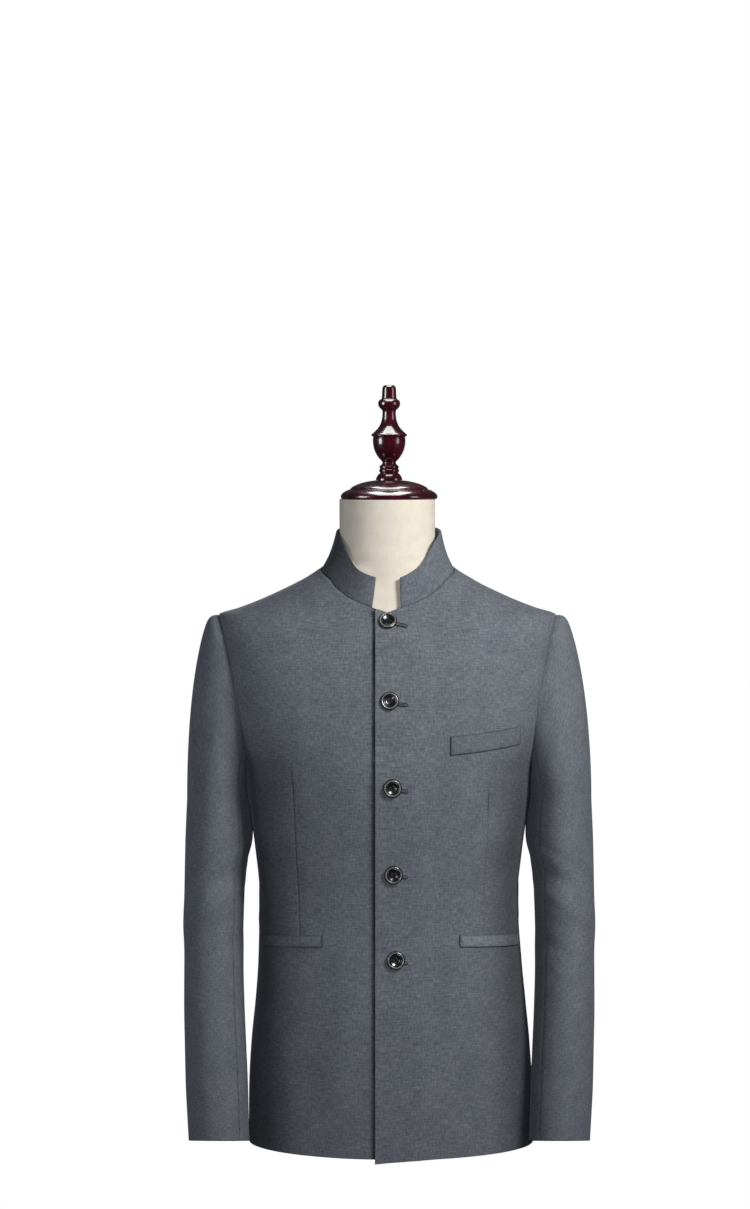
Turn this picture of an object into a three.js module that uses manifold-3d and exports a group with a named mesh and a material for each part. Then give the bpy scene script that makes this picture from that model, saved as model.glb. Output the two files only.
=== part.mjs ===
// A mao suit jacket on a limbless dress form.
// Grey cloth jacket: standing collar, five buttons, one chest welt, two pocket welts, two-piece sleeves.
// The form has a covered torso and neck, a turned wooden neck cap and a turned wooden finial.
// Millimetres. +Z is up, -Y is the front, +X is the wearer's left.

import * as THREE from 'three';
import { mergeVertices } from 'three/addons/utils/BufferGeometryUtils.js';
import Module from 'manifold-3d';

const wasm = await Module();
wasm.setup();

// Cloth
const CLOTH = 2.0; // thickness of the body and sleeve cloth
const COLLAR_CLOTH = 2.4;
const WELT_CLOTH = 1.6;
const SEAM = 0.2; // how far each piece stops short of its seam
const LAY = 0.5; // clearance of a piece that lies on another
const WELT_LAY = 0.8; // a welt's clearance over the flat faces of the panel
const MEET = 0.3; // clearance between the form's neck, cap and finial
const LAP = CLOTH + 1.1; // how far the left front stands out over the right one

// Heights
const HEM = 9.6;
const LAP_CORNER_DROP = 5.5; // the left front hangs lower at its lapped corner
const LAP_CORNER_REACH = 60;
const NECK_TOP = 841.2; // top of the form's neck
const NECK_SHIFT = -2; // the neck stands a little to the wearer's right
const CAP_SHIFT = 0.4;

// Front closing
const LAP_EDGE = -18; // x of the left front's free edge
const UNDER_EDGE = 21; // x of the right front's edge, under the lap
const COLLAR_END_LEFT = 14.5; // x of the collar's end on the left front
const COLLAR_END_RIGHT = -21; // x of the collar's end on the right front
const LAP_MARGIN = 10; // how far past the right front's edge the left front still stands out
const LAP_FADE = 34; // and the width over which it then comes back

// Side seam and armhole
const SIDE_SEAM = 97; // degrees round the body from the front
const SHOULDER = 90;
const ARMHOLE_MIDDLE = 594;
const ARMHOLE_HALF_HEIGHT = 98;
const ARMHOLE_FRONT = 56; // how far the armhole reaches forward
const ARMHOLE_BACK = 68; // and backward
const ARMHOLE_EGG = 14; // degrees by which the widest place sinks
const ARMHOLE_SIDE = 195; // degrees round the armhole where the side seam meets it

// Sleeve
const SLEEVE_TOP_ROW = 455; // height below which the sleeve is a plain tube
const SLEEVE_SHIFT = 0.6; // both sleeves hang this far to the wearer's left
const SLEEVE_FRONT_SEAM = 7; // column of the front seam
const SLEEVE_BACK_SEAM = 13; // column of the back seam
const SLEEVE_HALF_GIRTH = 60; // mean radius, by which its folds are spaced
const CUFF = 18.4; // height of the cuff's middle
const SLEEVE_LIFT = 80; // degrees by which the sleeve turns out of the body, all round its head
const SLEEVE_LIFT_SHARE = 0.45; // beyond this share of the armhole it turns further, to hang down
const SLEEVE_REACH_TOP = 105;
const SLEEVE_REACH_UNDER = 10;
const SLEEVE_REACH_FALL = 0.9;
const UNDERARM_GAP = 1.3;
const CROWN = 9; // fullness of the sleeve's head over the shoulder
const CROWN_TIP = 25; // degrees by which that fullness stands above the sleeve's setting off
const CROWN_AT = 0.08; // where it is fullest, as a share of the way down the head

// Collar: its foot stands on the neckline and its top leans in towards the neck
const COLLAR_TOP_HALF = 67.6;
const COLLAR_TOP_FRONT = 71;
const COLLAR_TOP_BACK = 69;
const COLLAR_TALL_FRONT = 37;
const COLLAR_TALL_BACK = 46.5;
const COLLAR_TALL_AT = 75; // degrees round the neck where it reaches its full height
const COLLAR_HOLLOW_FRONT = 2;
const COLLAR_HOLLOW_SIDE = 8.6;

// Grid sizes
const SIDE_ROWS = 13;
const ARMHOLE_COLUMNS = 10;
const COLLAR_END_COLUMNS = 2;
const NECK_COLUMNS = 5;
const SHOULDER_COLUMNS = 5;
const BACK_NECK_COLUMNS = 8;
const CAP_ROWS = 8;
const TUBE_ROWS = 12;
const CAP_CROWDING = 1.25; // rows of the sleeve's head lie closer near the armhole
const FOLD_FREE_ROWS = 3; // rows at the sleeve's head over which its folds set in
const COLLAR_ROWS = 4;
const COLLAR_CROWDING = 1.3; // rows of the collar lie closer near its foot
const WELT_COLUMNS = 10;
const WELT_ROWS = 2;
const FORM_SIDES = 32;
const TURNED_CAP_SIDES = 36;
const FINIAL_SIDES = 20;
const BUTTON_SIDES = 20;

const CLOTH_LOOK = { color: 0x5c6068, roughness: 0.85, metalness: 0 };
const LINEN_LOOK = { color: 0xded4c4, roughness: 0.9, metalness: 0 };
const WOOD_LOOK = { color: 0x460c14, roughness: 0.2, metalness: 0 };
const BUTTON_LOOK = { color: 0x15151a, roughness: 0.2, metalness: 0 };

// Slopes of a smooth curve through a table's rows that never overshoots them.
function slopes(xs, ys) {
  const steps = xs.slice(1).map((x, i) => (ys[i + 1] - ys[i]) / (x - xs[i]));
  return xs.map((x, i) => {
    if (i === 0) return steps[0];
    if (i === xs.length - 1) return steps[i - 1];
    if (steps[i - 1] * steps[i] <= 0) return 0;
    return (2 * steps[i - 1] * steps[i]) / (steps[i - 1] + steps[i]);
  });
}

function smoothCurve(xs, ys) {
  const m = slopes(xs, ys);
  return (x) => {
    const last = xs.length - 1;
    if (x <= xs[0]) return ys[0];
    if (x >= xs[last]) return ys[last];
    let i = 0;
    while (x > xs[i + 1]) i += 1;
    const width = xs[i + 1] - xs[i];
    const t = (x - xs[i]) / width;
    const rise = t * t * (3 - 2 * t);
    const start = t * (1 - t) * (1 - t) * width * m[i];
    const end = t * t * (1 - t) * width * m[i + 1];
    return ys[i] + (ys[i + 1] - ys[i]) * rise + start - end;
  };
}

// A table's columns by name, each a smooth function of its first column.
function table(names, rows) {
  const keys = rows.map((row) => row[0]);
  const columns = {};
  names.slice(1).forEach((name, k) => {
    columns[name] = smoothCurve(keys, rows.map((row) => row[k + 1]));
  });
  return columns;
}

// Level sections of the jacket's body, up to the root of the neck.
const BODY = table(
  ['z', 'mid', 'half', 'front', 'back', 'power'],
  [
    [0, 3.3, 184.2, 130, 128, 2.05],
    [70, 3.0, 183.6, 130, 126, 2.05],
    [140, 2.3, 180, 129, 123, 2.1],
    [192, 2.3, 175, 128, 119, 2.15],
    [244, 1.6, 170.6, 125, 114, 2.2],
    [310, 0, 167.8, 123, 111, 2.2],
    [348, 0, 168.3, 124, 112, 2.2],
    [387, 0, 172.2, 127, 115, 2.2],
    [426, 0, 177, 131, 119, 2.2],
    [494, 0, 183, 136, 126, 2.25],
    [526, -0.6, 192, 134, 129, 2.35],
    [560, -1.2, 200.5, 130, 131, 2.4],
    [602, -1.4, 207.5, 122, 132, 2.4],
    [643, -1.6, 213.5, 109, 125, 2.35],
    [670, -1.7, 216.5, 98, 116, 2.25],
    [685, -1.7, 217.4, 89, 108, 2.15],
    [692.6, -1.7, 217.2, 84, 102, 2.05],
    [701, -1.7, 192.6, 79, 97, 1.95],
    [708.7, -1.7, 172, 76, 93, 1.95],
    [716.5, -1.7, 153.6, 74, 89.5, 1.95],
    [724.2, -1.7, 137, 72.5, 86.5, 1.95],
    [732, -1.7, 121, 71, 83.5, 1.95],
    [739.7, -1, 107, 69.5, 81, 1.95],
    [747.5, -1.4, 94.2, 68, 78.5, 1.95],
    [755.2, -1.2, 83.4, 66, 76, 2],
    [762, -1.2, 75.8, 64, 73.5, 2],
    [770, -1, 69, 63, 68, 2],
  ],
);

// Height of the neckline, by degrees round the body from the front.
const NECKLINE = table(
  ['angle', 'z'],
  [
    [0, 703],
    [6, 706],
    [9.5, 708.5],
    [18.4, 716.5],
    [30, 728],
    [49.5, 742.4],
    [90, 754],
    [135, 759.5],
    [180, 762],
  ],
);

// Level sections of a sleeve below the armhole; x counts outward from the middle of the body.
const SLEEVE = table(
  ['z', 'inner', 'outer', 'front', 'back', 'tilt'],
  [
    [CUFF, 179.5, 257.6, -105, -2, 0.208],
    [50, 180.5, 259.4, -103, 0, 0.2],
    [87, 181.5, 261.5, -100, 6, 0.18],
    [140, 184, 263, -95, 16, 0.14],
    [192, 186.5, 264.3, -89, 28, 0.1],
    [244, 188, 264.5, -83, 41, 0.06],
    [296, 187.5, 265, -77, 52, 0.03],
    [348, 186.6, 264.5, -73, 62, 0],
    [376, 182.4, 264.2, -71, 66, 0],
    [400, 178.8, 264, -70, 70, 0],
    [428, 180.2, 263.2, -69, 73, 0],
    [455, 182.8, 262, -68, 76, 0],
  ],
);

// How far the form's surface lies inside the outer face of the cloth.
const EASE = table(
  ['z', 'gap'],
  [
    [0, 48],
    [100, 40],
    [200, 27],
    [300, 15],
    [400, 11],
    [500, 7],
    [600, 5],
    [640, 5.2],
    [672, 7.4],
    [688, 11],
    [700, 7.6],
    [712, 6.4],
    [738, 7.4],
    [755, 5.2],
    [770, 5],
  ],
);

// Largest folds of the body: place, half-length, half-width, depth (a hollow is negative), lean.
const BODY_FOLDS = [
  { angle: 62, z: 428, long: 75, wide: 20, depth: 3.0, lean: 28 },
  { angle: -64, z: 418, long: 80, wide: 21, depth: 3.2, lean: -26 },
  { angle: 50, z: 372, long: 70, wide: 22, depth: -2.6, lean: 34 },
  { angle: -48, z: 366, long: 62, wide: 20, depth: -2.4, lean: -30 },
  { angle: 68, z: 130, long: 120, wide: 24, depth: 3.2, lean: -6 },
  { angle: -70, z: 120, long: 110, wide: 26, depth: 3.4, lean: 7 },
  { angle: 36, z: 110, long: 105, wide: 26, depth: -2.6, lean: 4 },
  { angle: -34, z: 105, long: 95, wide: 24, depth: -2.4, lean: -3 },
  { angle: 118, z: 415, long: 80, wide: 22, depth: 3.0, lean: -24 },
  { angle: -121, z: 405, long: 85, wide: 21, depth: 3.0, lean: 22 },
  { angle: 150, z: 350, long: 62, wide: 24, depth: -3.0, lean: 60 },
  { angle: -152, z: 342, long: 66, wide: 22, depth: -2.8, lean: -58 },
  { angle: 140, z: 120, long: 115, wide: 26, depth: 3.2, lean: 3 },
  { angle: -143, z: 115, long: 105, wide: 27, depth: 3.0, lean: -4 },
];

// Largest folds of each sleeve, by degrees round it: 0 outer, 90 front, 180 inner, 270 back.
const SLEEVE_FOLDS = [
  { angle: 120, z: 360, long: 40, wide: 15, depth: -3.0, lean: 62 },
  { angle: 82, z: 318, long: 46, wide: 16, depth: 2.4, lean: 55 },
  { angle: 128, z: 272, long: 36, wide: 13, depth: -2.6, lean: 66 },
  { angle: 40, z: 470, long: 85, wide: 20, depth: -2.2, lean: 8 },
  { angle: 285, z: 330, long: 52, wide: 17, depth: 2.8, lean: -58 },
  { angle: 262, z: 285, long: 44, wide: 15, depth: -2.6, lean: -62 },
  { angle: 305, z: 455, long: 80, wide: 20, depth: 2.4, lean: -8 },
  { angle: 207, z: 422, long: 38, wide: 17, depth: 5, lean: 0 },
];

const BUTTONS = [
  { x: -1.6, z: 686.9 },
  { x: 0.7, z: 589.7 },
  { x: 4.2, z: 481.8 },
  { x: 5.5, z: 371.7 },
  { x: 8.3, z: 262.8 },
];
const BUTTON_RADIUS = 11.8;
const BUTTON_SPOT = 0.7; // share of its radius at which it is tested against the cloth
const BUTTON_HOLE_RADIUS = 1.1;
const BUTTON_HOLE_OFFSET = 2.1;

// Welts: x of both ends, height of the lower edge there, and how tall the welt is.
const CHEST_WELT = { from: 76.3, to: 166, lowerFrom: 521.5, lowerTo: 532, tall: 24 };
const POCKET_WELT = { from: 86, to: 163.5, lowerFrom: 277, lowerTo: 268.8, tall: 15.8 };
const POCKET_WELT_SHIFT = 2.5;

// Outlines of the turned neck cap and finial: radius and height over the foot
const CAP_TALL = 24;
const CAP_PROFILE = [
  [0, 0],
  [60, 0],
  [62.2, 2],
  [62.2, 4.4],
  [59, 8.4],
  [51.6, 12],
  [49.8, 13],
  [48.4, 15],
  [40, 19.2],
  [33, 21.4],
  [20, CAP_TALL],
  [0, CAP_TALL],
];

const FINIAL_PROFILE = [
  [0, 0],
  [17.2, 0],
  [15.7, 4.8],
  [11.4, 9.4],
  [12.9, 12.4],
  [11.6, 14.6],
  [12.5, 16.9],
  [8.8, 22.4],
  [12.9, 28],
  [17.7, 35.7],
  [20.2, 43.5],
  [21, 51],
  [20.6, 55.2],
  [23, 57.8],
  [21.6, 59.8],
  [17.1, 64.1],
  [12.8, 69.3],
  [10.5, 74.4],
  [9, 80],
  [8.6, 87.6],
  [13.5, 95],
  [14.2, 98.6],
  [12.4, 102.9],
  [9.6, 105.2],
  [9, 113],
  [8.6, 118.6],
  [5.6, 122],
  [0, 122.6],
];

const radians = (degrees) => (degrees * Math.PI) / 180;
const mix = (a, b, t) => a + (b - a) * t;
const point = (x, y, z) => new THREE.Vector3(x, y, z);
const signedPower = (value, power) => Math.sign(value) * Math.abs(value) ** power;

// A point of the smooth body surface, by degrees round it (0 front, 90 the wearer's left side).
function bodySurface(angle, z) {
  const power = 2 / BODY.power(z);
  const along = Math.cos(radians(angle));
  const depth = along > 0 ? BODY.front(z) : BODY.back(z);
  const x = BODY.mid(z) + BODY.half(z) * signedPower(Math.sin(radians(angle)), power);
  return point(x, -depth * signedPower(along, power), z);
}

function bodyNormal(angle, z) {
  const turn = 0.4;
  const climb = 0.8;
  const round = bodySurface(angle + turn, z).sub(bodySurface(angle - turn, z));
  const up = bodySurface(angle, z + climb).sub(bodySurface(angle, z - climb));
  return round.cross(up).normalize();
}

// The angle at which the body's front, at a height, has a given x.
function frontAngle(x, z) {
  const share = (x - BODY.mid(z)) / BODY.half(z);
  return (Math.asin(signedPower(share, BODY.power(z) / 2)) * 180) / Math.PI;
}

function foldHeight(folds, angle, z, halfWidth) {
  return folds.reduce((sum, fold) => {
    const turn = ((((angle - fold.angle) % 360) + 540) % 360) - 180;
    const across = (turn / 90) * halfWidth;
    const rise = z - fold.z;
    const lean = radians(fold.lean);
    const u = (across * Math.cos(lean) - rise * Math.sin(lean)) / fold.wide;
    const v = (across * Math.sin(lean) + rise * Math.cos(lean)) / fold.long;
    return sum + fold.depth * Math.exp(-u * u - v * v);
  }, 0);
}

// A point of the body cloth, a given distance outside its plain outer face.
function clothPoint(angle, z, out = 0) {
  const fold = foldHeight(BODY_FOLDS, angle, z, BODY.half(z));
  return bodySurface(angle, z).addScaledVector(bodyNormal(angle, z), fold + out);
}

// A closed wall between two grids of points, rows by columns.
function wall(outer, inner) {
  const rows = outer.length;
  const columns = outer[0].length;
  const corners = [...outer.flat(), ...inner.flat()];
  const place = (side, row, column) => (side * rows + row) * columns + column;
  const faces = [];
  const quad = (a, b, c, d) => faces.push(a, b, c, a, c, d);
  for (let i = 0; i < rows - 1; i += 1) {
    for (let j = 0; j < columns - 1; j += 1) {
      quad(place(0, i, j), place(0, i, j + 1), place(0, i + 1, j + 1), place(0, i + 1, j));
      quad(place(1, i, j), place(1, i + 1, j), place(1, i + 1, j + 1), place(1, i, j + 1));
    }
  }
  for (let j = 0; j < columns - 1; j += 1) {
    quad(place(0, 0, j), place(1, 0, j), place(1, 0, j + 1), place(0, 0, j + 1));
    const top = rows - 1;
    quad(place(0, top, j), place(0, top, j + 1), place(1, top, j + 1), place(1, top, j));
  }
  for (let i = 0; i < rows - 1; i += 1) {
    quad(place(0, i, 0), place(0, i + 1, 0), place(1, i + 1, 0), place(1, i, 0));
    const end = columns - 1;
    quad(place(0, i, end), place(1, i, end), place(1, i + 1, end), place(0, i + 1, end));
  }
  return solidGeometry(corners, faces);
}

function signedVolume(corners, faces) {
  let volume = 0;
  for (let k = 0; k < faces.length; k += 3) {
    const [a, b, c] = [corners[faces[k]], corners[faces[k + 1]], corners[faces[k + 2]]];
    volume += a.dot(b.clone().cross(c)) / 6;
  }
  return volume;
}

// Faces are turned to point out of the solid.
function solidGeometry(corners, faces) {
  const outward = signedVolume(corners, faces) > 0 ? faces : faces.slice().reverse();
  const geometry = new THREE.BufferGeometry();
  const numbers = corners.flatMap((corner) => [corner.x, corner.y, corner.z]);
  geometry.setAttribute('position', new THREE.Float32BufferAttribute(numbers, 3));
  geometry.setIndex(outward);
  geometry.computeVertexNormals();
  return geometry;
}

// Pulls the border of a grid back from its seams.
function shortened(grid) {
  const rows = grid.length - 1;
  const columns = grid[0].length - 1;
  const pulled = (from, to) => to.clone().sub(from).setLength(SEAM);
  return grid.map((row, i) => row.map((corner, j) => {
    const moved = corner.clone();
    if (i === 0) moved.add(pulled(corner, grid[1][j]));
    if (i === rows) moved.add(pulled(corner, grid[rows - 1][j]));
    if (j === 0) moved.add(pulled(corner, row[1]));
    if (j === columns) moved.add(pulled(corner, row[columns - 1]));
    return moved;
  }));
}

// Fills a panel's flat pattern between its four borders; each border gives [across, z].
function patternGrid({ bottom, top, left, right }) {
  const lastRow = left.length - 1;
  const lastColumn = bottom.length - 1;
  return left.map((start, i) => bottom.map((foot, j) => {
    const u = j / lastColumn;
    const v = i / lastRow;
    return [0, 1].map((k) => {
      const ruled = mix(foot[k], top[j][k], v) + mix(start[k], right[i][k], u);
      const low = mix(bottom[0][k], bottom[lastColumn][k], u);
      const high = mix(top[0][k], top[lastColumn][k], u);
      return ruled - mix(low, high, v);
    });
  }));
}

// Height of a front's hem, which on the left front hangs lower towards the lapped corner.
function hemHeight(x, drop) {
  const share = Math.max(0, 1 - Math.abs(x - LAP_EDGE) / LAP_CORNER_REACH);
  return HEM - drop * share * share;
}

function armholePlace(turn) {
  const egg = ARMHOLE_EGG * Math.sin(radians(turn));
  const reach = Math.sin(radians(turn - egg));
  return {
    y: -(reach > 0 ? ARMHOLE_FRONT : ARMHOLE_BACK) * reach,
    z: ARMHOLE_MIDDLE + ARMHOLE_HALF_HEIGHT * Math.cos(radians(turn)),
  };
}

// Degrees round the body of a place on the armhole, 0 at the shoulder, 90 at the front.
function armholeAngle(turn) {
  const { y, z } = armholePlace(turn);
  const depth = y < 0 ? BODY.front(z) : BODY.back(z);
  const along = (Math.abs(y) / depth) ** (BODY.power(z) / 2);
  const angle = (Math.acos(along) * 180) / Math.PI;
  return y < 0 ? angle : 180 - angle;
}

const span = (from, to, steps) =>
  Array.from({ length: steps + 1 }, (_, k) => mix(from, to, k / steps));

const frontTurns = span(ARMHOLE_SIDE, 0, ARMHOLE_COLUMNS);
const backTurns = span(ARMHOLE_SIDE, 360, ARMHOLE_COLUMNS);

// Pattern place of a point of a front, or of a back where the angle counts from the centre back.
const patternPlace = (angle, z) => [(angle / 90) * BODY.half(z), z];

function neckPlace(angle) {
  return patternPlace(angle, NECKLINE.z(angle));
}

// Angle at which the front neckline has a given x.
function neckAngle(x) {
  let angle = 0;
  for (let pass = 0; pass < 12; pass += 1) angle = frontAngle(x, NECKLINE.z(Math.abs(angle)));
  return angle;
}

// Angles of the points along one front's neckline, counted towards its own side.
function frontNeckAngles(side, edge, collarEnd) {
  const start = side * neckAngle(edge);
  const end = side * neckAngle(collarEnd);
  return [
    ...span(start, end, COLLAR_END_COLUMNS),
    ...span(end, SHOULDER, NECK_COLUMNS).slice(1),
  ];
}

const shoulderHeights = span(NECKLINE.z(SHOULDER), armholePlace(0).z, SHOULDER_COLUMNS).slice(1);

// A front, drawn in angles counted towards its own side: 1 is the wearer's left.
function frontPanel(side, edge, collarEnd, drop, lap) {
  const top = [
    ...frontNeckAngles(side, edge, collarEnd).map((angle) => [
      patternPlace(angle, NECKLINE.z(Math.abs(angle)))[0],
      NECKLINE.z(Math.abs(angle)),
    ]),
    ...shoulderHeights.map((z) => patternPlace(SHOULDER, z)),
  ];
  const seamTop = armholePlace(ARMHOLE_SIDE).z;
  const right = [
    ...span(HEM, seamTop, SIDE_ROWS).slice(0, -1).map((z) => {
      const angle = mix(SIDE_SEAM, armholeAngle(ARMHOLE_SIDE), (z - HEM) / (seamTop - HEM));
      return patternPlace(angle, z);
    }),
    ...frontTurns.map((turn) => patternPlace(armholeAngle(turn), armholePlace(turn).z)),
  ];
  const edgeHem = hemHeight(edge, drop);
  const left = right.map((unused, i) => {
    const z = mix(edgeHem, top[0][1], i / (right.length - 1));
    return patternPlace(side * frontAngle(edge, z), z);
  });
  const bottom = top.map((unused, j) => {
    const across = mix(left[0][0], right[0][0], j / (top.length - 1));
    return [across, hemHeight(side * across, drop)];
  });
  const grid = patternGrid({ bottom, top, left, right });
  const places = grid.map((row) => row.map(([across, z]) => ({
    angle: (side * across * 90) / BODY.half(z),
    z,
  })));
  const surface = (depth) => places.map((row) => row.map(({ angle, z }) => {
    const x = bodySurface(angle, z).x;
    return clothPoint(angle, z, lap(x) - depth);
  }));
  return wall(shortened(surface(0)), shortened(surface(CLOTH)));
}

// The left front stands out where it lies over the right one.
function lapOver(x) {
  const share = Math.min(1, Math.max(0, (x - UNDER_EDGE - LAP_MARGIN) / LAP_FADE));
  return LAP * (1 - share * share * (3 - 2 * share));
}

function backPanel() {
  const fromBack = (angle) => 180 - angle;
  const half = (z, angle) => patternPlace(fromBack(angle), z);
  const neck = span(SHOULDER, 180, BACK_NECK_COLUMNS / 2);
  const halfTop = [
    ...shoulderHeights.slice().reverse().map((z) => half(z, SHOULDER)),
    ...neck.map((angle) => half(NECKLINE.z(angle), angle)),
  ];
  const other = ([across, z]) => [-across, z];
  const top = [...halfTop, ...halfTop.slice(0, -1).reverse().map(other)];
  const seamTop = armholePlace(ARMHOLE_SIDE).z;
  const left = [
    ...span(HEM, seamTop, SIDE_ROWS).slice(0, -1).map((z) => {
      const angle = mix(SIDE_SEAM, armholeAngle(ARMHOLE_SIDE), (z - HEM) / (seamTop - HEM));
      return half(z, angle);
    }),
    ...backTurns.map((turn) => half(armholePlace(turn).z, armholeAngle(turn))),
  ];
  const right = left.map(other);
  const bottom = top.map((unused, j) => [mix(left[0][0], right[0][0], j / (top.length - 1)), HEM]);
  const grid = patternGrid({ bottom, top, left, right });
  const surface = (depth) => grid.map((row) => row.map(([across, z]) => {
    const angle = 180 - (across * 90) / BODY.half(z);
    return clothPoint(angle, z, -depth);
  }));
  return wall(shortened(surface(0)), shortened(surface(CLOTH)));
}

// A point of the sleeve's tube; turn is degrees round it, 0 outer, 90 front, 180 inner, 270 back.
function sleeveTube(side, turn, z) {
  const middle = (SLEEVE.inner(z) + SLEEVE.outer(z)) / 2;
  const half = (SLEEVE.outer(z) - SLEEVE.inner(z)) / 2;
  const centre = (SLEEVE.front(z) + SLEEVE.back(z)) / 2;
  const depth = (SLEEVE.back(z) - SLEEVE.front(z)) / 2;
  const y = centre - depth * Math.sin(radians(turn));
  const x = side * (middle + half * Math.cos(radians(turn))) + SLEEVE_SHIFT;
  return point(x, y, z + SLEEVE.tilt(z) * (centre - y));
}

// Where the sleeve starts at the armhole and how it sets off.
function sleeveStart(side, turn) {
  const angle = side * armholeAngle(turn);
  const { z } = armholePlace(turn);
  const seam = bodySurface(angle, z);
  const normal = bodyNormal(angle, z);
  const step = 1;
  const along = bodySurface(side * armholeAngle(turn + step), armholePlace(turn + step).z)
    .sub(bodySurface(side * armholeAngle(turn - step), armholePlace(turn - step).z));
  const away = normal.clone().cross(along).normalize();
  const hole = point(side * BODY.half(ARMHOLE_MIDDLE), 0, ARMHOLE_MIDDLE);
  if (away.dot(hole.sub(seam)) < 0) away.negate();
  const share = Math.min(turn, 360 - turn) / 180;
  const under = Math.max(0, (share - SLEEVE_LIFT_SHARE) / (1 - SLEEVE_LIFT_SHARE));
  const lift = radians(mix(SLEEVE_LIFT, 180, under * under * (3 - 2 * under)));
  const heading = (tip) => away.clone().multiplyScalar(Math.cos(tip))
    .addScaledVector(normal, Math.sin(tip));
  const reach = mix(SLEEVE_REACH_TOP, SLEEVE_REACH_UNDER, share ** SLEEVE_REACH_FALL);
  return {
    seam: seam.addScaledVector(heading(lift / 2), mix(LAY, UNDERARM_GAP, share * share)),
    heading: heading(lift).multiplyScalar(reach),
    crown: heading(radians(SLEEVE_LIFT + CROWN_TIP))
      .multiplyScalar(CROWN * Math.max(0, Math.cos(radians(turn)))),
  };
}

// The sleeve's head, from the armhole (t = 0) down to the tube (t = 1).
function sleeveHead(side, turn, t) {
  const start = sleeveStart(side, turn);
  const end = sleeveTube(side, turn, SLEEVE_TOP_ROW);
  const fall = point(0, 0, -start.seam.distanceTo(end));
  const full = t / CROWN_AT;
  return start.seam.clone().multiplyScalar(1 - t * t * (3 - 2 * t))
    .addScaledVector(start.heading, t * (1 - t) * (1 - t))
    .addScaledVector(end, t * t * (3 - 2 * t))
    .addScaledVector(fall, -t * t * (1 - t))
    .addScaledVector(start.crown, full * Math.exp(1 - full));
}

const sleeveTurns = [...frontTurns.slice().reverse(), ...backTurns.slice(1)];

function gridNormals(grid) {
  return grid.map((row, i) => row.map((corner, j) => {
    const nextRow = grid[Math.min(i + 1, grid.length - 1)][j];
    const lastRow = grid[Math.max(i - 1, 0)][j];
    const round = row.length - 1;
    const around = row[(j + 1) % round].clone().sub(row[(j + round - 1) % round]);
    return around.cross(nextRow.clone().sub(lastRow)).normalize();
  }));
}

// The whole sleeve as a grid of rows from the armhole to the cuff, closed round its columns.
function sleeveGrids(side) {
  const headRows = span(0, 1, CAP_ROWS).map((t) => t ** CAP_CROWDING);
  const tubeRows = span(SLEEVE_TOP_ROW, CUFF, TUBE_ROWS).slice(1);
  const plain = [
    ...headRows.map((t) => sleeveTurns.map((turn) => sleeveHead(side, turn, t))),
    ...tubeRows.map((z) => sleeveTurns.map((turn) => sleeveTube(side, turn, z))),
  ];
  const normals = gridNormals(plain);
  if (normals[CAP_ROWS][0].x * side < 0) normals.flat().forEach((normal) => normal.negate());
  const at = (depth) => plain.map((row, i) => row.map((corner, j) => {
    const fade = Math.min(1, i / FOLD_FREE_ROWS);
    const fold = foldHeight(SLEEVE_FOLDS, sleeveTurns[j], corner.z, SLEEVE_HALF_GIRTH) * fade;
    return corner.clone().addScaledVector(normals[i][j], fold - depth);
  }));
  return { outer: at(0), inner: at(CLOTH) };
}

function columnsOf(grid, columns) {
  return grid.map((row) => columns.map((column) => row[column].clone()));
}

function sleevePanels(side) {
  const { outer, inner } = sleeveGrids(side);
  const last = sleeveTurns.length - 1;
  const range = (from, to) => Array.from({ length: to - from + 1 }, (_, k) => from + k);
  const underColumns = range(SLEEVE_FRONT_SEAM, SLEEVE_BACK_SEAM);
  const topColumns = [...range(SLEEVE_BACK_SEAM, last - 1), ...range(0, SLEEVE_FRONT_SEAM)];
  const panel = (columns) =>
    wall(shortened(columnsOf(outer, columns)), shortened(columnsOf(inner, columns)));
  return { top: panel(topColumns), under: panel(underColumns) };
}

// The collar's foot, head and hollow at a place on the neckline.
function collarColumn(angle) {
  const z = NECKLINE.z(Math.abs(angle));
  const foot = clothPoint(angle, z, LAY);
  const polar = Math.atan2(foot.x - BODY.mid(z), -foot.y);
  const share = Math.min(1, Math.abs(polar) / radians(COLLAR_TALL_AT));
  const tall = mix(COLLAR_TALL_FRONT, COLLAR_TALL_BACK, share * share * (3 - 2 * share));
  const depth = Math.cos(polar) > 0 ? COLLAR_TOP_FRONT : COLLAR_TOP_BACK;
  const head = point(COLLAR_TOP_HALF * Math.sin(polar), -depth * Math.cos(polar), foot.z + tall);
  const hollow = mix(COLLAR_HOLLOW_FRONT, COLLAR_HOLLOW_SIDE, share);
  return { foot, head, hollow, inward: point(-Math.sin(polar), Math.cos(polar), 0) };
}

function collar() {
  const columns = [
    ...span(neckAngle(COLLAR_END_RIGHT), -SHOULDER, NECK_COLUMNS),
    ...span(-SHOULDER, -180, BACK_NECK_COLUMNS / 2).slice(1),
    ...span(180, SHOULDER, BACK_NECK_COLUMNS / 2).slice(1),
    ...span(SHOULDER, neckAngle(COLLAR_END_LEFT), NECK_COLUMNS).slice(1),
  ].map(collarColumn);
  const heights = span(0, 1, COLLAR_ROWS).map((t) => t ** COLLAR_CROWDING);
  const at = (depth) => heights.map((t) => columns.map(({ foot, head, hollow, inward }) => {
    const bend = hollow * (1 - t) * Math.sqrt(t);
    return foot.clone().lerp(head, t).addScaledVector(inward, depth + bend);
  }));
  return wall(at(0), at(COLLAR_CLOTH));
}

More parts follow.
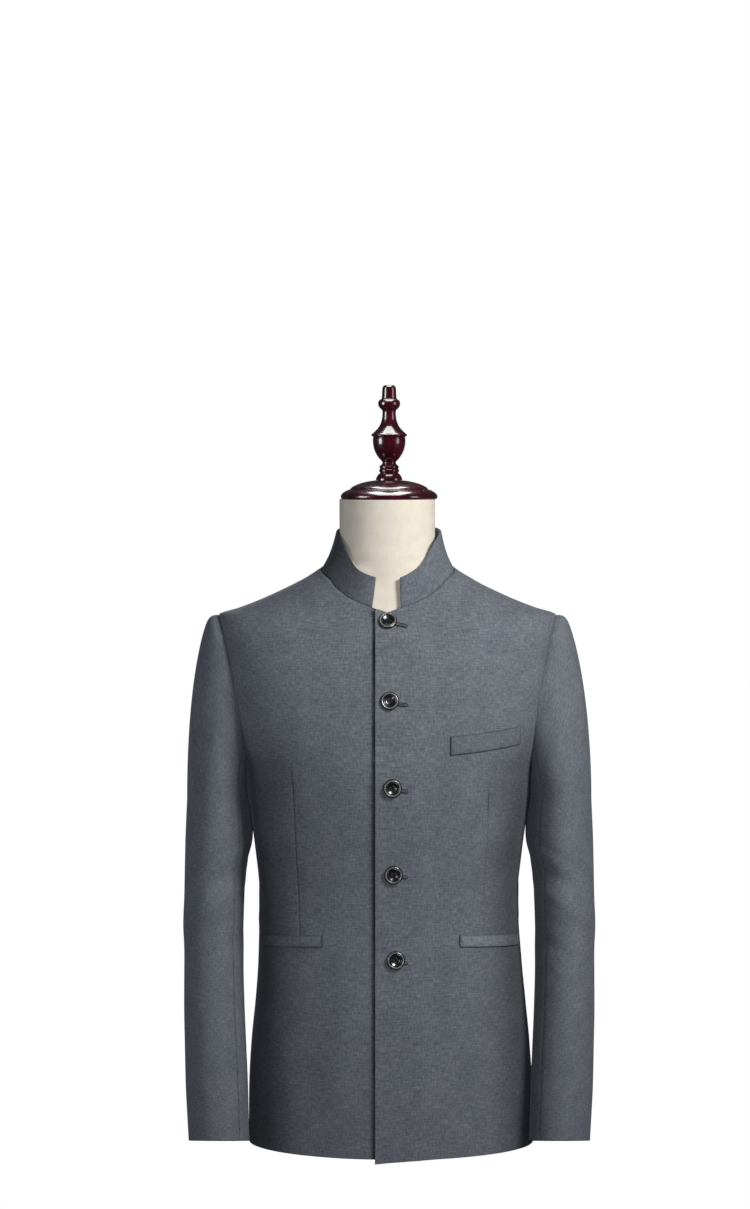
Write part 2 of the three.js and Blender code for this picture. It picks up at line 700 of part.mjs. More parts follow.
// How far a panel's outer face stands outside the plain body, at an angle and a height.
function panelHeight(panel, angle, z) {
  const start = 30;
  const normal = bodyNormal(angle, z);
  const origin = bodySurface(angle, z).addScaledVector(normal, start);
  const ray = new THREE.Ray(origin, normal.clone().negate());
  const corners = panel.attributes.position;
  const corner = (k) => point(0, 0, 0).fromBufferAttribute(corners, panel.index.getX(k));
  let nearest = Infinity;
  for (let k = 0; k < panel.index.count; k += 3) {
    const hit = ray.intersectTriangle(corner(k), corner(k + 1), corner(k + 2), true, point(0, 0, 0));
    if (hit) nearest = Math.min(nearest, hit.distanceTo(origin));
  }
  return start - nearest;
}

// A welt lies on a front, on the wearer's left where side is 1.
function welt(panel, side, { from, to, lowerFrom, lowerTo, tall }, shift = 0) {
  const places = span(0, 1, WELT_ROWS).map((row) => span(0, 1, WELT_COLUMNS).map((t) => {
    const z = mix(lowerFrom, lowerTo, t) + row * tall;
    const [start, end] = [from, to].map((x) => frontAngle(side * x + shift, z));
    const angle = mix(start, end, t);
    return { angle, z, height: panelHeight(panel, angle, z) };
  }));
  const grid = (out) => places.map((row) => row.map(({ angle, z, height }) =>
    bodySurface(angle, z).addScaledVector(bodyNormal(angle, z), height + out)));
  return wall(grid(WELT_LAY + WELT_CLOTH), grid(WELT_LAY));
}

function manifoldOf(geometry) {
  const bare = geometry.clone();
  bare.deleteAttribute('normal');
  bare.deleteAttribute('uv');
  const merged = mergeVertices(bare, 1e-4);
  return new wasm.Manifold(new wasm.Mesh({
    numProp: 3,
    vertProperties: new Float32Array(merged.attributes.position.array),
    triVerts: new Uint32Array(merged.index.array),
  }));
}

function geometryOf(manifold) {
  const mesh = manifold.getMesh();
  const geometry = new THREE.BufferGeometry();
  geometry.setAttribute('position', new THREE.Float32BufferAttribute(mesh.vertProperties, 3));
  geometry.setIndex(Array.from(mesh.triVerts));
  geometry.computeVertexNormals();
  return geometry;
}

// A four-hole button with a raised rim and a dished middle; its back lies at z = 0.
function buttonGeometry() {
  const profile = [
    [0, 0],
    [BUTTON_RADIUS - 2, 0],
    [BUTTON_RADIUS, 1.6],
    [BUTTON_RADIUS - 0.8, 3.4],
    [BUTTON_RADIUS - 2.6, 3.8],
    [BUTTON_RADIUS - 5, 2.6],
    [0, 2.2],
  ].map(([r, z]) => new THREE.Vector2(r, z));
  const disc = new THREE.LatheGeometry(profile, BUTTON_SIDES).rotateX(Math.PI / 2);
  let solid = manifoldOf(disc);
  for (const [i, j] of [[-1, -1], [-1, 1], [1, -1], [1, 1]]) {
    const hole = new THREE.CylinderGeometry(BUTTON_HOLE_RADIUS, BUTTON_HOLE_RADIUS, 12, 6);
    hole.rotateX(Math.PI / 2).translate(i * BUTTON_HOLE_OFFSET, j * BUTTON_HOLE_OFFSET, 0);
    solid = solid.subtract(manifoldOf(hole));
  }
  return geometryOf(solid);
}

// A button lies on the left front, touching it at the highest place under its rim or middle.
function buttonMesh(panel, number, { x, z }) {
  const angle = frontAngle(x, z);
  const normal = bodyNormal(angle, z);
  const mesh = new THREE.Mesh(buttonShape, new THREE.MeshStandardMaterial(BUTTON_LOOK));
  const plane = new THREE.Plane().setFromNormalAndCoplanarPoint(normal, bodySurface(angle, z));
  const heights = [-1, 0, 1].flatMap((i) => [-1, 0, 1].map((j) => {
    const height = z + j * BUTTON_RADIUS * BUTTON_SPOT;
    const turn = frontAngle(x + i * BUTTON_RADIUS * BUTTON_SPOT, height);
    const out = panelHeight(panel, turn, height);
    return plane.distanceToPoint(
      bodySurface(turn, height).addScaledVector(bodyNormal(turn, height), out),
    );
  }));
  mesh.position.copy(bodySurface(angle, z)).addScaledVector(normal, Math.max(...heights) + LAY);
  mesh.quaternion.setFromUnitVectors(point(0, 0, 1), normal);
  mesh.name = `button_${number}`;
  return mesh;
}

// The form: torso rings inside the cloth, then the neck.
function formTorso() {
  const torsoHeights = [0, 60, 130, 200, 270, 340, 410, 480, 540, 590, 630, 660, 680, 690,
    698, 708, 719, 731, 743, 754, 763];
  const neckRings = [
    { z: 772, radius: 62.6 },
    { z: 790, radius: 61.6 },
    { z: NECK_TOP, radius: 61.6 },
  ];
  const turns = span(0, 360, FORM_SIDES).slice(0, -1);
  const slopeStart = 640;
  const rings = [
    ...torsoHeights.map((z) => turns.map((angle) => {
      const normal = bodyNormal(angle, z);
      if (z < slopeStart) normal.setZ(0).normalize();
      return bodySurface(angle, z).addScaledVector(normal, -EASE.gap(z));
    })),
    ...neckRings.map(({ z, radius }) => turns.map((angle) => point(
      NECK_SHIFT + radius * Math.sin(radians(angle)),
      -radius * Math.cos(radians(angle)),
      z,
    ))),
  ];
  return loft(rings);
}

// A closed solid through closed rings of equal size, with flat ends.
function loft(rings) {
  const sides = rings[0].length;
  const corners = rings.flat();
  const faces = [];
  for (let i = 0; i < rings.length - 1; i += 1) {
    for (let j = 0; j < sides; j += 1) {
      const next = (j + 1) % sides;
      const [a, b] = [i * sides + j, i * sides + next];
      faces.push(a, b, b + sides, a, b + sides, a + sides);
    }
  }
  const last = (rings.length - 1) * sides;
  for (let j = 1; j < sides - 1; j += 1) {
    faces.push(0, j + 1, j);
    faces.push(last, last + j, last + j + 1);
  }
  return solidGeometry(corners, faces);
}

function turned(profile, sides) {
  const outline = profile.map(([radius, z]) => new THREE.Vector2(radius, z));
  return geometryOf(manifoldOf(new THREE.LatheGeometry(outline, sides).rotateX(Math.PI / 2)));
}

const buttonShape = buttonGeometry();
const group = new THREE.Group();

function addPiece(name, geometry, look) {
  const mesh = new THREE.Mesh(geometry, new THREE.MeshStandardMaterial(look));
  mesh.name = name;
  group.add(mesh);
  return mesh;
}

const noLap = () => 0;
const frontLeft = frontPanel(1, LAP_EDGE, COLLAR_END_LEFT, LAP_CORNER_DROP, lapOver);
const frontRight = frontPanel(-1, UNDER_EDGE, COLLAR_END_RIGHT, 0, noLap);
addPiece('front_left', frontLeft, CLOTH_LOOK);
addPiece('front_right', frontRight, CLOTH_LOOK);
addPiece('back', backPanel(), CLOTH_LOOK);
addPiece('collar', collar(), CLOTH_LOOK);
for (const [name, side, front] of [['left', 1, frontLeft], ['right', -1, frontRight]]) {
  const panels = sleevePanels(side);
  addPiece(`top_sleeve_${name}`, panels.top, CLOTH_LOOK);
  addPiece(`under_sleeve_${name}`, panels.under, CLOTH_LOOK);
  addPiece(`pocket_welt_${name}`, welt(front, side, POCKET_WELT, POCKET_WELT_SHIFT), CLOTH_LOOK);
}
addPiece('chest_welt', welt(frontLeft, 1, CHEST_WELT), CLOTH_LOOK);
BUTTONS.forEach((place, k) => group.add(buttonMesh(frontLeft, k + 1, place)));
addPiece('form_torso', formTorso(), LINEN_LOOK);
addPiece('neck_cap', turned(CAP_PROFILE, TURNED_CAP_SIDES), WOOD_LOOK)
  .position.set(CAP_SHIFT, 0, NECK_TOP + MEET);
addPiece('finial', turned(FINIAL_PROFILE, FINIAL_SIDES), WOOD_LOOK)
  .position.set(CAP_SHIFT, 0, NECK_TOP + MEET * 2 + CAP_TALL);

export default group;
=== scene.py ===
# A grey mao suit jacket, buttoned on a limbless dress form with a turned wooden cap and finial.
# Sizes are in millimetres until a mesh is made. +Z is up, -Y is the front, +X is the wearer's left.

import math
from types import SimpleNamespace

import bpy
import numpy as np
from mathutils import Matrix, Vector


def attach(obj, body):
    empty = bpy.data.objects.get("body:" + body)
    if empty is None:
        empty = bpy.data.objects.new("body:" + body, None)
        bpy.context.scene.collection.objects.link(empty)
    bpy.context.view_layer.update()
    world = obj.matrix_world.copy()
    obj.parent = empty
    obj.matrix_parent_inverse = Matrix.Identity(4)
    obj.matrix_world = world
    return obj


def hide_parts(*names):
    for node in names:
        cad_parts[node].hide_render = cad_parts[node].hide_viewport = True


MM = 0.001

# Cloth
CLOTH = 2.0
COLLAR_CLOTH = 2.4
WELT_CLOTH = 1.6
SEAM = 0.2  # how far each piece stops short of its seam
LAY = 0.5  # clearance of a piece that lies on another
LAP = CLOTH + 1.1  # how far the left front stands out over the right one

# Heights
HEM = 9.6
LAP_CORNER_DROP = 5.5
LAP_CORNER_REACH = 60
LAP_CORNER_ROUND = 8.0  # radius of the left front's top corner
NOTCH_AT = -3  # the neckline dips to a point between the collar's ends
NOTCH_HALF = 19
NOTCH_DROP = 4.5
NECK_TOP = 841.2
NECK_SHIFT = -2
NECK_RADIUS = 61.6
NECK_FOOT_RADIUS = 62.6
CAP_SHIFT = 0.4
MEET = 0.3

# Front closing
LAP_EDGE = -18
UNDER_EDGE = 21
COLLAR_END_LEFT = 14.5
COLLAR_END_RIGHT = -21
LAP_MARGIN = 10
LAP_FADE = 34

# Side seam and armhole
SIDE_SEAM = 97  # degrees round the body from the front
SIDE_SHADE = 0.48  # painted shade: the cloth's colour is darker at the body's sides below the arms, from these degrees round it
SIDE_SHADE_START = {1: 37, -1: 34}
SIDE_SHADE_RISE = 30
SIDE_SHADE_FALL = 40
SIDE_SHADE_TOP = 470
SIDE_SHADE_FADE = 90
SHOULDER = 90
ARMHOLE_MIDDLE = 594
ARMHOLE_HALF_HEIGHT = 98
ARMHOLE_FRONT = 56
ARMHOLE_BACK = 68
ARMHOLE_EGG = 14
ARMHOLE_SIDE = 195

# Sleeve
SLEEVE_TOP_ROW = 455
SLEEVE_SHIFT = 0.6
SLEEVE_FRONT_SEAM = 136.5  # degrees round the sleeve
SLEEVE_BACK_SEAM = 244.5
SLEEVE_HALF_GIRTH = 60
CUFF = 18.4
SLEEVE_LIFT = 78
SLEEVE_LIFT_SHARE = 0.45
SLEEVE_REACH_TOP = 105
SLEEVE_REACH_UNDER = 10
SLEEVE_REACH_FALL = 0.9
UNDERARM_GAP = 1.3
SLEEVE_GAP = 0.15
SLEEVE_TUCK = 1.7  # how far the sleeve goes in beside the armhole's edge, to close the seam
SLEEVE_TUCK_FADE = (0.72, 0.2)  # shares of half the armhole: where the tuck fades, over how much
SLEEVE_GIRTH = 2 * math.pi * 57  # mean girth
SLEEVE_HEAD = 175.0  # length of the head along the flat pattern
SLEEVE_MIDDLE = 240  # the height at which a panel's outer side is told
SLEEVE_FOLD_FADE = 40  # the folds grow over this length from the armhole
CROWN = 5.5
CROWN_TIP = 25
CROWN_AT = 0.08

# Collar
COLLAR_LENGTH = 420.0
COLLAR_MEAN_TALL = 43.0
COLLAR_TOP_HALF = 67.6
COLLAR_TOP_FRONT = 71
COLLAR_TOP_BACK = 69
COLLAR_TALL_FRONT = 37
COLLAR_TALL_BACK = 46.5
COLLAR_TALL_AT = 75
COLLAR_HOLLOW_FRONT = 2
COLLAR_HOLLOW_SIDE = 8.6
COLLAR_SHADE = 0.6  # painted shade: the collar's colour is darker along one side
COLLAR_SHADE_AT = -60
COLLAR_SHADE_HALF = 32
COLLAR_DIPS = [(-7.5, -43, 19), (-2.5, 46, 14)]  # height, degrees from the front, half-width

# Shares of each border where its kind changes, as in the flat pattern
COLLAR_END_SHARE = 2 / 12
NECK_SHARE = 7 / 12
BACK_SHOULDER_SHARE = 5 / 18
SIDE_SHARE = 13 / 23

# Mesh
CELL = 4.2  # size of a plain cell of the cloth's mesh
BORDER_STEPS = np.array([0, 0.1, 0.32, 0.62, 1.0, 1.6, 2.6, 4.4])
LINE_STEPS = np.array([-4.2, -2.4, -1.3, -0.7, -0.3, 0, 0.3, 0.7, 1.3, 2.4, 4.2])
BORDER_SAMPLES = 700
SHARP = 32  # degrees at which the edges of turned pieces are sharp

# Sewing: each row of a list of bells is a height, a place and a half-width
SEAM_DIP = 0.55
SEAM_DIP_WIDTH = 1.5
SEAM_SWELL = [(0.3, 6.5, 4.0)]
# Painted shade: the cloth's colour is darker just at a seam, for the shade in its groove
SEAM_SHADE = 0.35
SEAM_SHADE_WIDTH = 0.9
EDGE_ROLL = [(1.3, 0, 6.5)]  # the lapping edge rolls up off the cloth below it
LAP_SHADES = [(-0.82, 0, 2.0), (-0.12, 0, 7)]  # painted shadow: the under front's colour is darker beside the lapping edge, where that edge casts its shadow

# Form
FORM_SIDES = 144
FORM_SLOPE_START = 640  # the form follows the cloth's slope above this height
FORM_HEIGHTS = [
    *(0, 60, 130, 200, 270, 340, 410, 480, 540, 590, 630),
    *(660, 680, 690, 698, 708, 719, 731, 743, 754, 763),
]
NECK_RINGS = [
    (NECK_FOOT_RADIUS, 772),
    (NECK_RADIUS, 790),
    (NECK_RADIUS, 820),
    (NECK_RADIUS, NECK_TOP - 1.6),
    (NECK_RADIUS - 0.5, NECK_TOP - 0.4),
    (NECK_RADIUS - 1.6, NECK_TOP),
]
RING_STEPS = 4

# Turned wood: smooth runs of (radius, height) that meet at corners
WOOD_SIDES = 128
CAP_TALL = 24
CAP_RUNS = [
    [(0, 0), (59.8, 0)],
    [
        *[(59.8, 0), (61.6, 0.8), (62.3, 2.6), (62.2, 4.4), (61.2, 6.3)],
        *[(59, 8.4), (55.2, 10.7), (51.6, 12.2)],
    ],
    [(51.6, 12.2), (50.2, 12.5), (49.8, 13.4)],
    [
        *[(49.8, 13.4), (48.4, 15), (45.2, 16.9), (40, 19.2)],
        *[(33, 21.4), (26, 22.9), (20, 23.8), (17, 24)],
    ],
    [(17, 24), (0, 24)],
]
FINIAL_RUNS = [
    [(0, 0), (17.2, 0)],
    [(17.2, 0), (16.8, 2.2), (15.7, 4.8), (13.9, 7.4), (11.4, 9.4)],
    [(11.4, 9.4), (12.4, 10.6), (12.9, 12.4), (12.4, 13.9), (11.5, 14.7)],
    [(11.5, 14.7), (12.2, 15.6), (12.5, 16.9), (12, 18.3), (10.4, 19.6)],
    [(10.4, 19.6), (9.2, 21), (8.8, 22.6), (9.2, 24.2)],
    [
        *[(9.2, 24.2), (10.4, 25.4), (12.9, 28), (16.4, 33.2)],
        *[(18.8, 38.3), (20.2, 43.5), (20.9, 48.6), (21, 53.6)],
    ],
    [(21, 53.6), (20.4, 55), (21.2, 56.2)],
    [(21.2, 56.2), (22.6, 57), (23.1, 58), (22.6, 59.1), (21.4, 60)],
    [
        *[(21.4, 60), (19.9, 61.4), (17.1, 64.1), (14.7, 66.7)],
        *[(12.8, 69.3), (11.5, 71.9), (10.5, 74.4)],
    ],
    [(10.5, 74.4), (9.3, 79), (8.7, 84), (8.6, 87.6), (9.2, 90.2)],
    [(9.2, 90.2), (11.4, 92.2), (13.5, 95), (14.2, 98), (13.8, 101), (12, 103.2), (9.8, 104.6)],
    [(9.8, 104.6), (9.5, 106), (9.3, 109)],
    [(9.3, 109), (9, 114), (8.8, 117.6), (8, 120.2), (5.6, 122), (0, 122.6)],
]

# Buttons
BUTTON_RADIUS = 11.8
BUTTON_SPOT = 0.7
BUTTON_SIDES = 96
BUTTON_RUNS = [
    [(0, 0), (9.6, 0)],
    [
        *[(9.6, 0), (10.8, 0.3), (11.6, 1), (11.8, 1.9)],
        *[(11.4, 2.8), (10.6, 3.5), (9.7, 3.8), (8.8, 3.6)],
    ],
    [(8.8, 3.6), (8.2, 3.1), (7.9, 2.6)],
    [(7.9, 2.6), (7.4, 2.8), (6.4, 2.4), (4.6, 1.65), (2.4, 1.12), (0, 0.95)],
]
BUTTON_PAINTED_RING = [(1, 9.5, 0.8)]  # a painted reflection: a pale ring on the polished rim, as a bell over the radius
BUTTON_PAINTED_RING_BOTTOM = 2
BUTTON_HOLES = [(-1, -1), (-1, 1), (1, -1), (1, 1)]
BUTTON_HOLE_OFFSET = 2.15
DRILL_SIDES = 28
DRILL_RUNS = [[(0, -2), (1.1, -2)], [(1.1, -2), (1.1, 6)], [(1.1, 6), (0, 6)]]
BUTTON_TURNS = [9, -14, 22, -6, 31]  # degrees that each button is turned
BUTTON_THREAD = 0.42
BUTTON_THREAD_SHIFT = 0.45
BUTTON_THREAD_FOOT = 0.9
BUTTON_THREAD_RISE = 1.1

# Buttonholes
HOLE_START = 1.0  # ahead of the button's middle
HOLE_END = 21.0
HOLE_BELOW = [1.5, 3.0, 2.8, 2.6, 3.0]  # below each button's middle
HOLE_SAG = [0.2, 0.1, 0.08, 0.05, 0.07]
HOLE_GAP = 0.3
HOLE_LIP = 1.25
# A buttonhole's slit is a dark sheet, a painted shadow of its opening: its half-width, outline
# steps and the degrees round its end
HOLE_SLIT_SHADOW = 2.5
HOLE_SLIT_SHADOW_STEPS = 25
HOLE_SLIT_SHADOW_ROUND = np.arange(75, -76, -15)  # degrees round its end
HOLE_STAND = 0.5  # how far the painted slit shadow stands off the plain cloth
STITCH_STEP = 0.85
STITCH_RADIUS = 0.36
STITCH_RISE = 0.45
STITCH_FAN = range(-80, 81, 20)  # degrees at which stitches go round the end
THREAD_SIDES = 6
THREAD_THINNING = 0.7

# Sleeve panels: first and last seam in degrees round the sleeve
SLEEVE_PANELS = [
    ("top", SLEEVE_BACK_SEAM - 360, SLEEVE_FRONT_SEAM),
    ("under", SLEEVE_FRONT_SEAM, SLEEVE_BACK_SEAM),
]

# Welts
WELT_LAY = 0.35  # clearance below a welt
WELT_DIP = 0.7  # share of a seam's dip and swell that a welt's seam has
WELT_LIFT_REACH = 14  # the free edge rises over this length at each end
# Painted shade: a dark line in a welt's colour along its edges, where they meet the cloth
WELT_EDGE_SHADE = 0.8
WELT_EDGE_WIDTH = 0.8
WELT_END_SHARE = 0.6  # how much wider the painted shade is at the ends
POCKET_PAINTED_LIGHT = {1: 1.5, -1: 1.15}  # painted light: the welts' colour is lighter, as for the sheen of their cloth, which runs across

# Looks: grains in each metre across, along and deep, and colours by place on a noise's range
CLOTH_LOOK = SimpleNamespace(
    warp=(760, 150, 1),
    weft=(130, 700, 1),
    slub_share=0.42,
    cloud=(38, 30, 1),
    cloud_detail=2.0,
    cloud_share=0.16,
    shades=[
        (0.34, (0.078, 0.087, 0.105)),
        (0.5, (0.125, 0.137, 0.158)),
        (0.66, (0.188, 0.203, 0.228)),
    ],
    rough=(0.72, 0.56),
    pitch=0.0012,
    weave_share=0.12,
    bump=(0.00035, 0.7),
)
LINEN_LOOK = SimpleNamespace(
    warp=(1400, 90, 1),
    weft=(80, 1300, 1),
    slub_share=0.3,
    cloud=(55, 45, 1),
    cloud_detail=3.0,
    cloud_share=0.4,
    shades=[(0.3, (0.62, 0.55, 0.45)), (0.5, (0.70, 0.64, 0.55)), (0.7, (0.76, 0.71, 0.62))],
    rough=(0.9, 0.78),
    pitch=0.0011,
    weave_share=0.2,
    bump=(0.0003, 0.5),
)
WOOD_SHADES = [
    (0.3, (0.012, 0.0004, 0.002)),
    (0.5, (0.032, 0.001, 0.006)),
    (0.7, (0.085, 0.003, 0.014)),
]
WOOD_GRAIN_SHARE = 0.45
BUTTON_BLACK = [(0.3, (0.003, 0.003, 0.004)), (0.7, (0.012, 0.012, 0.014))]
# Painted reflection: the pale colour of the ring on the buttons' rim
BUTTON_PAINTED_REFLECTION = [(0.3, (0.13, 0.13, 0.135)), (0.7, (0.24, 0.24, 0.245))]
HOLE_THREAD = [(0.3, (0.1, 0.11, 0.13)), (0.7, (0.22, 0.235, 0.26))]
DARK_THREAD = [(0.3, (0.01, 0.011, 0.014)), (0.7, (0.03, 0.032, 0.038))]
FLOOR_SHADES = [(0.3, (0.86, 0.86, 0.86)), (0.7, (0.9, 0.9, 0.9))]
NOISE_RANGE = (0.3, 0.7)  # the middle of a noise's range
FLOOR = 6.0  # half its width: far too small to show, as it all lies under the form
FLOOR_FADE = (1.1, 2.6)  # metres from the object
FLOOR_BOUNCE = (0.12, 0.12, 0.12, 1)  # what the floor throws back on the object
ROOM_COLOUR = (0.85, 0.9, 1.0, 1)
ROOM_LIGHT = 0.045

# Camera
LENS = 104.0
SENSOR = 36
EYE = (-17.802, -4500, 925.5)
EYE_TILT = 87.2011  # degrees up from straight down

# Lamps that light everything but show in no gloss: name, place, target, size, power, colour
LAMPS = [
    ("key", (1.15, -1.1, 1.62), (0, 0, 0.62), (0.6, 0.6), 37, (1, 0.99, 0.965)),
    ("side_left", (-2.0, -0.35, 0.65), (0, 0, 0.45), (0.8, 1.2), 7.5, (0.93, 0.96, 1)),
    ("front", (-0.15, -2.4, 0.85), (0, 0, 0.45), (0.6, 0.6), 18, (0.96, 0.98, 1)),
    ("back", (0.25, 2.5, 1.5), (0, 0, 0.5), (0.7, 0.7), 30, (1, 1, 1)),
]

# Lamps that show only in the wood's gloss
WOOD_LAMPS = [
    ("wood_overhead", (0, 0.1, 2.0), (0, 0.1, 0.9), (0.8, 1.3), 32, (1, 1, 1)),
    ("wood_left", (-1.6, -0.75, 1.1), (0, 0, 0.95), (0.7, 1.1), 24, (1, 1, 1)),
    ("wood_right", (1.6, -0.8, 1.1), (0, 0, 0.95), (0.6, 1.1), 8, (1, 1, 1)),
]

# Lamps that show only in the buttons' gloss
BUTTON_LAMPS = [
    ("button_high", (0.85, -1.6, 1.55), (0, 0, 0.45), (0.7, 0.7), 34, (1, 1, 1)),
    ("button_low", (-0.9, -1.8, 0.3), (0, 0, 0.45), (0.3, 0.3), 4, (1, 1, 1)),
]


def hermite(start, start_slope, end, end_slope, t):
    """A smooth step between two values with given slopes, t going from 0 to 1."""
    return (
        start * (1 + 2 * t) * (1 - t) ** 2
        + start_slope * t * (1 - t) ** 2
        + end * t * t * (3 - 2 * t)
        - end_slope * t * t * (1 - t)
    )


class Curve:
    """A smooth curve through a table's rows that never overshoots them."""

    def __init__(self, xs, ys):
        self.x = np.array(xs, float)
        self.y = np.array(ys, float)
        step = np.diff(self.y) / np.diff(self.x)
        self.slope = np.concatenate([step[:1], np.zeros(len(step) - 1), step[-1:]])
        same = step[:-1] * step[1:] > 0
        total = np.where(same, step[:-1] + step[1:], 1)
        self.slope[1:-1] = np.where(same, 2 * step[:-1] * step[1:] / total, 0)

    def __call__(self, x):
        x = np.clip(np.asarray(x, float), self.x[0], self.x[-1])
        i = np.clip(np.searchsorted(self.x, x, side="right") - 1, 0, len(self.x) - 2)
        width = self.x[i + 1] - self.x[i]
        slope, next_slope = width * self.slope[i], width * self.slope[i + 1]
        return hermite(self.y[i], slope, self.y[i + 1], next_slope, (x - self.x[i]) / width)


def table(names, rows):
    """A table's columns by name, each a smooth function of its first column."""
    keys = [row[0] for row in rows]
    columns = {name: Curve(keys, [row[k] for row in rows]) for k, name in enumerate(names) if k}
    return SimpleNamespace(**columns)


# Level sections of the jacket's body, up to the root of the neck.
BODY = table(["z", "mid", "half", "front", "back", "power"], [
    [0, 3.3, 184.2, 130, 128, 2.05],
    [70, 3.0, 183.6, 130, 126, 2.05],
    [140, 2.3, 180, 129, 123, 2.1],
    [192, 2.3, 175, 128, 119, 2.15],
    [244, 1.6, 170.6, 125, 114, 2.2],
    [310, 0, 167.8, 123, 111, 2.2],
    [348, 0, 168.3, 124, 112, 2.2],
    [387, 0, 172.2, 127, 115, 2.2],
    [426, 0, 177, 131, 119, 2.2],
    [494, 0, 183, 136, 126, 2.25],
    [526, -0.6, 192, 134, 129, 2.35],
    [560, -1.2, 200.5, 130, 131, 2.4],
    [602, -1.4, 207.5, 122, 132, 2.4],
    [643, -1.6, 213.5, 109, 125, 2.35],
    [670, -1.7, 216.5, 98, 116, 2.25],
    [685, -1.7, 217.4, 89, 108, 2.15],
    [692.6, -1.7, 217.2, 84, 102, 2.05],
    [701, -1.7, 192.6, 79, 97, 1.95],
    [708.7, -1.7, 172, 76, 93, 1.95],
    [716.5, -1.7, 153.6, 74, 89.5, 1.95],
    [724.2, -1.7, 137, 72.5, 86.5, 1.95],
    [732, -1.7, 121, 71, 83.5, 1.95],
    [739.7, -1, 107, 69.5, 81, 1.95],
    [747.5, -1.4, 94.2, 68, 78.5, 1.95],
    [755.2, -1.2, 83.4, 66, 76, 2],
    [762, -1.2, 75.8, 64, 73.5, 2],
    [770, -1, 69, 63, 68, 2],
])

# Height of the neckline, by degrees round the body from the front.
NECKLINE = table(["angle", "z"], [
    [0, 703],
    [6, 706],
    [9.5, 708.5],
    [18.4, 716.5],
    [30, 728],
    [49.5, 742.4],
    [90, 754],
    [135, 759.5],
    [180, 762],
])

# Level sections of a sleeve below the armhole; x counts outward from the middle of the body.
SLEEVE = table(["z", "inner", "outer", "front", "back", "tilt"], [
    [CUFF, 179.5, 257.6, -105, -2, 0.208],
    [50, 180.5, 259.4, -103, 0, 0.2],
    [87, 181.5, 261.5, -100, 6, 0.18],
    [140, 184, 263, -95, 16, 0.14],
    [192, 186.5, 264.3, -89, 28, 0.1],
    [244, 188, 264.5, -83, 41, 0.06],
    [296, 187.5, 265, -77, 52, 0.03],
    [348, 186.6, 264.5, -73, 62, 0],
    [376, 182.4, 264.2, -71, 66, 0],
    [400, 178.8, 264, -70, 70, 0],
    [428, 180.2, 263.2, -69, 73, 0],
    [455, 182.8, 262, -68, 76, 0],
])

# How far the form's surface lies inside the outer face of the cloth.
EASE = table(["z", "gap"], [
    [0, 48],
    [100, 40],
    [200, 27],
    [300, 15],
    [400, 11],
    [500, 7],
    [600, 5],
    [640, 5.2],
    [672, 7.4],
    [688, 11],
    [700, 7.6],
    [712, 6.4],
    [738, 7.4],
    [755, 5.2],
    [770, 5],
])

# Folds, as rows of angle, height, half-length, half-width, depth and lean. A hollow's depth is
# negative. First the largest ones of the body, which its solids have too.
BODY_FOLDS = [
    (62, 428, 75, 20, 3.0, 28), (-64, 418, 80, 21, 3.2, -26), (50, 372, 70, 22, -2.6, 34),
    (-48, 366, 62, 20, -2.4, -30), (68, 130, 120, 24, 3.2, -6), (-70, 120, 110, 26, 3.4, 7),
    (36, 110, 105, 26, -2.6, 4), (-34, 105, 95, 24, -2.4, -3), (118, 415, 80, 22, 3.0, -24),
    (-121, 405, 85, 21, 3.0, 22), (150, 350, 62, 24, -3.0, 60), (-152, 342, 66, 22, -2.8, -58),
    (140, 120, 115, 26, 3.2, 3), (-143, 115, 105, 27, 3.0, -4),
]

# Largest folds of each sleeve, by degrees round it: 0 outer, 90 front, 180 inner, 270 back.
SLEEVE_FOLDS = [
    (120, 360, 40, 15, -3.0, 62), (82, 318, 46, 16, 2.4, 55), (128, 272, 36, 13, -2.6, 66),
    (40, 470, 85, 20, -2.2, 8), (285, 330, 52, 17, 2.8, -58), (262, 285, 44, 15, -2.6, -62),
    (305, 455, 80, 20, 2.4, -8), (207, 422, 38, 17, 5.0, 0),
]

# Finer creases of the body.
BODY_CREASES = [
    (58, 500, 42, 7, -0.9, 30), (66, 470, 38, 6, 0.8, 34), (-60, 492, 40, 7, -0.9, -28),
    (-67, 462, 36, 6, 0.8, -33), (74, 330, 46, 8, -0.9, 52), (79, 298, 34, 6, 0.7, 58),
    (-75, 322, 44, 8, -0.9, -50), (-80, 292, 32, 6, 0.7, -60), (24, 86, 70, 9, 0.8, -4),
    (47, 70, 58, 8, -0.9, 6), (-22, 92, 74, 10, 0.7, 3), (-50, 76, 62, 9, -0.9, -7),
    (30, 560, 60, 16, 0.9, 12), (-30, 566, 64, 16, 0.9, -10), (124, 560, 60, 9, -1.2, 16),
    (-126, 552, 64, 9, -1.2, -18), (135, 500, 70, 11, 1.1, 12), (-138, 492, 66, 12, 1.1, -14),
    (160, 330, 40, 7, 1.0, 72), (-163, 318, 44, 8, 1.0, -70), (172, 370, 46, 9, -1.1, 80),
    (128, 300, 42, 8, -1.0, 48), (-130, 290, 44, 8, -1.0, -46), (155, 90, 72, 10, -0.9, 4),
    (-158, 84, 66, 10, -0.9, -5), (180, 120, 84, 12, 0.8, 2), (106, 240, 60, 8, 0.8, 12),
    (-109, 232, 56, 8, 0.8, -10), (170, 640, 70, 22, -1.4, 86), (-18, 165, 120, 17, 1.9, 0),
    (16, 70, 70, 14, 1.3, -3), (92, 464, 26, 14, 3.4, 0), (-92, 470, 26, 14, 2.6, 0),
]

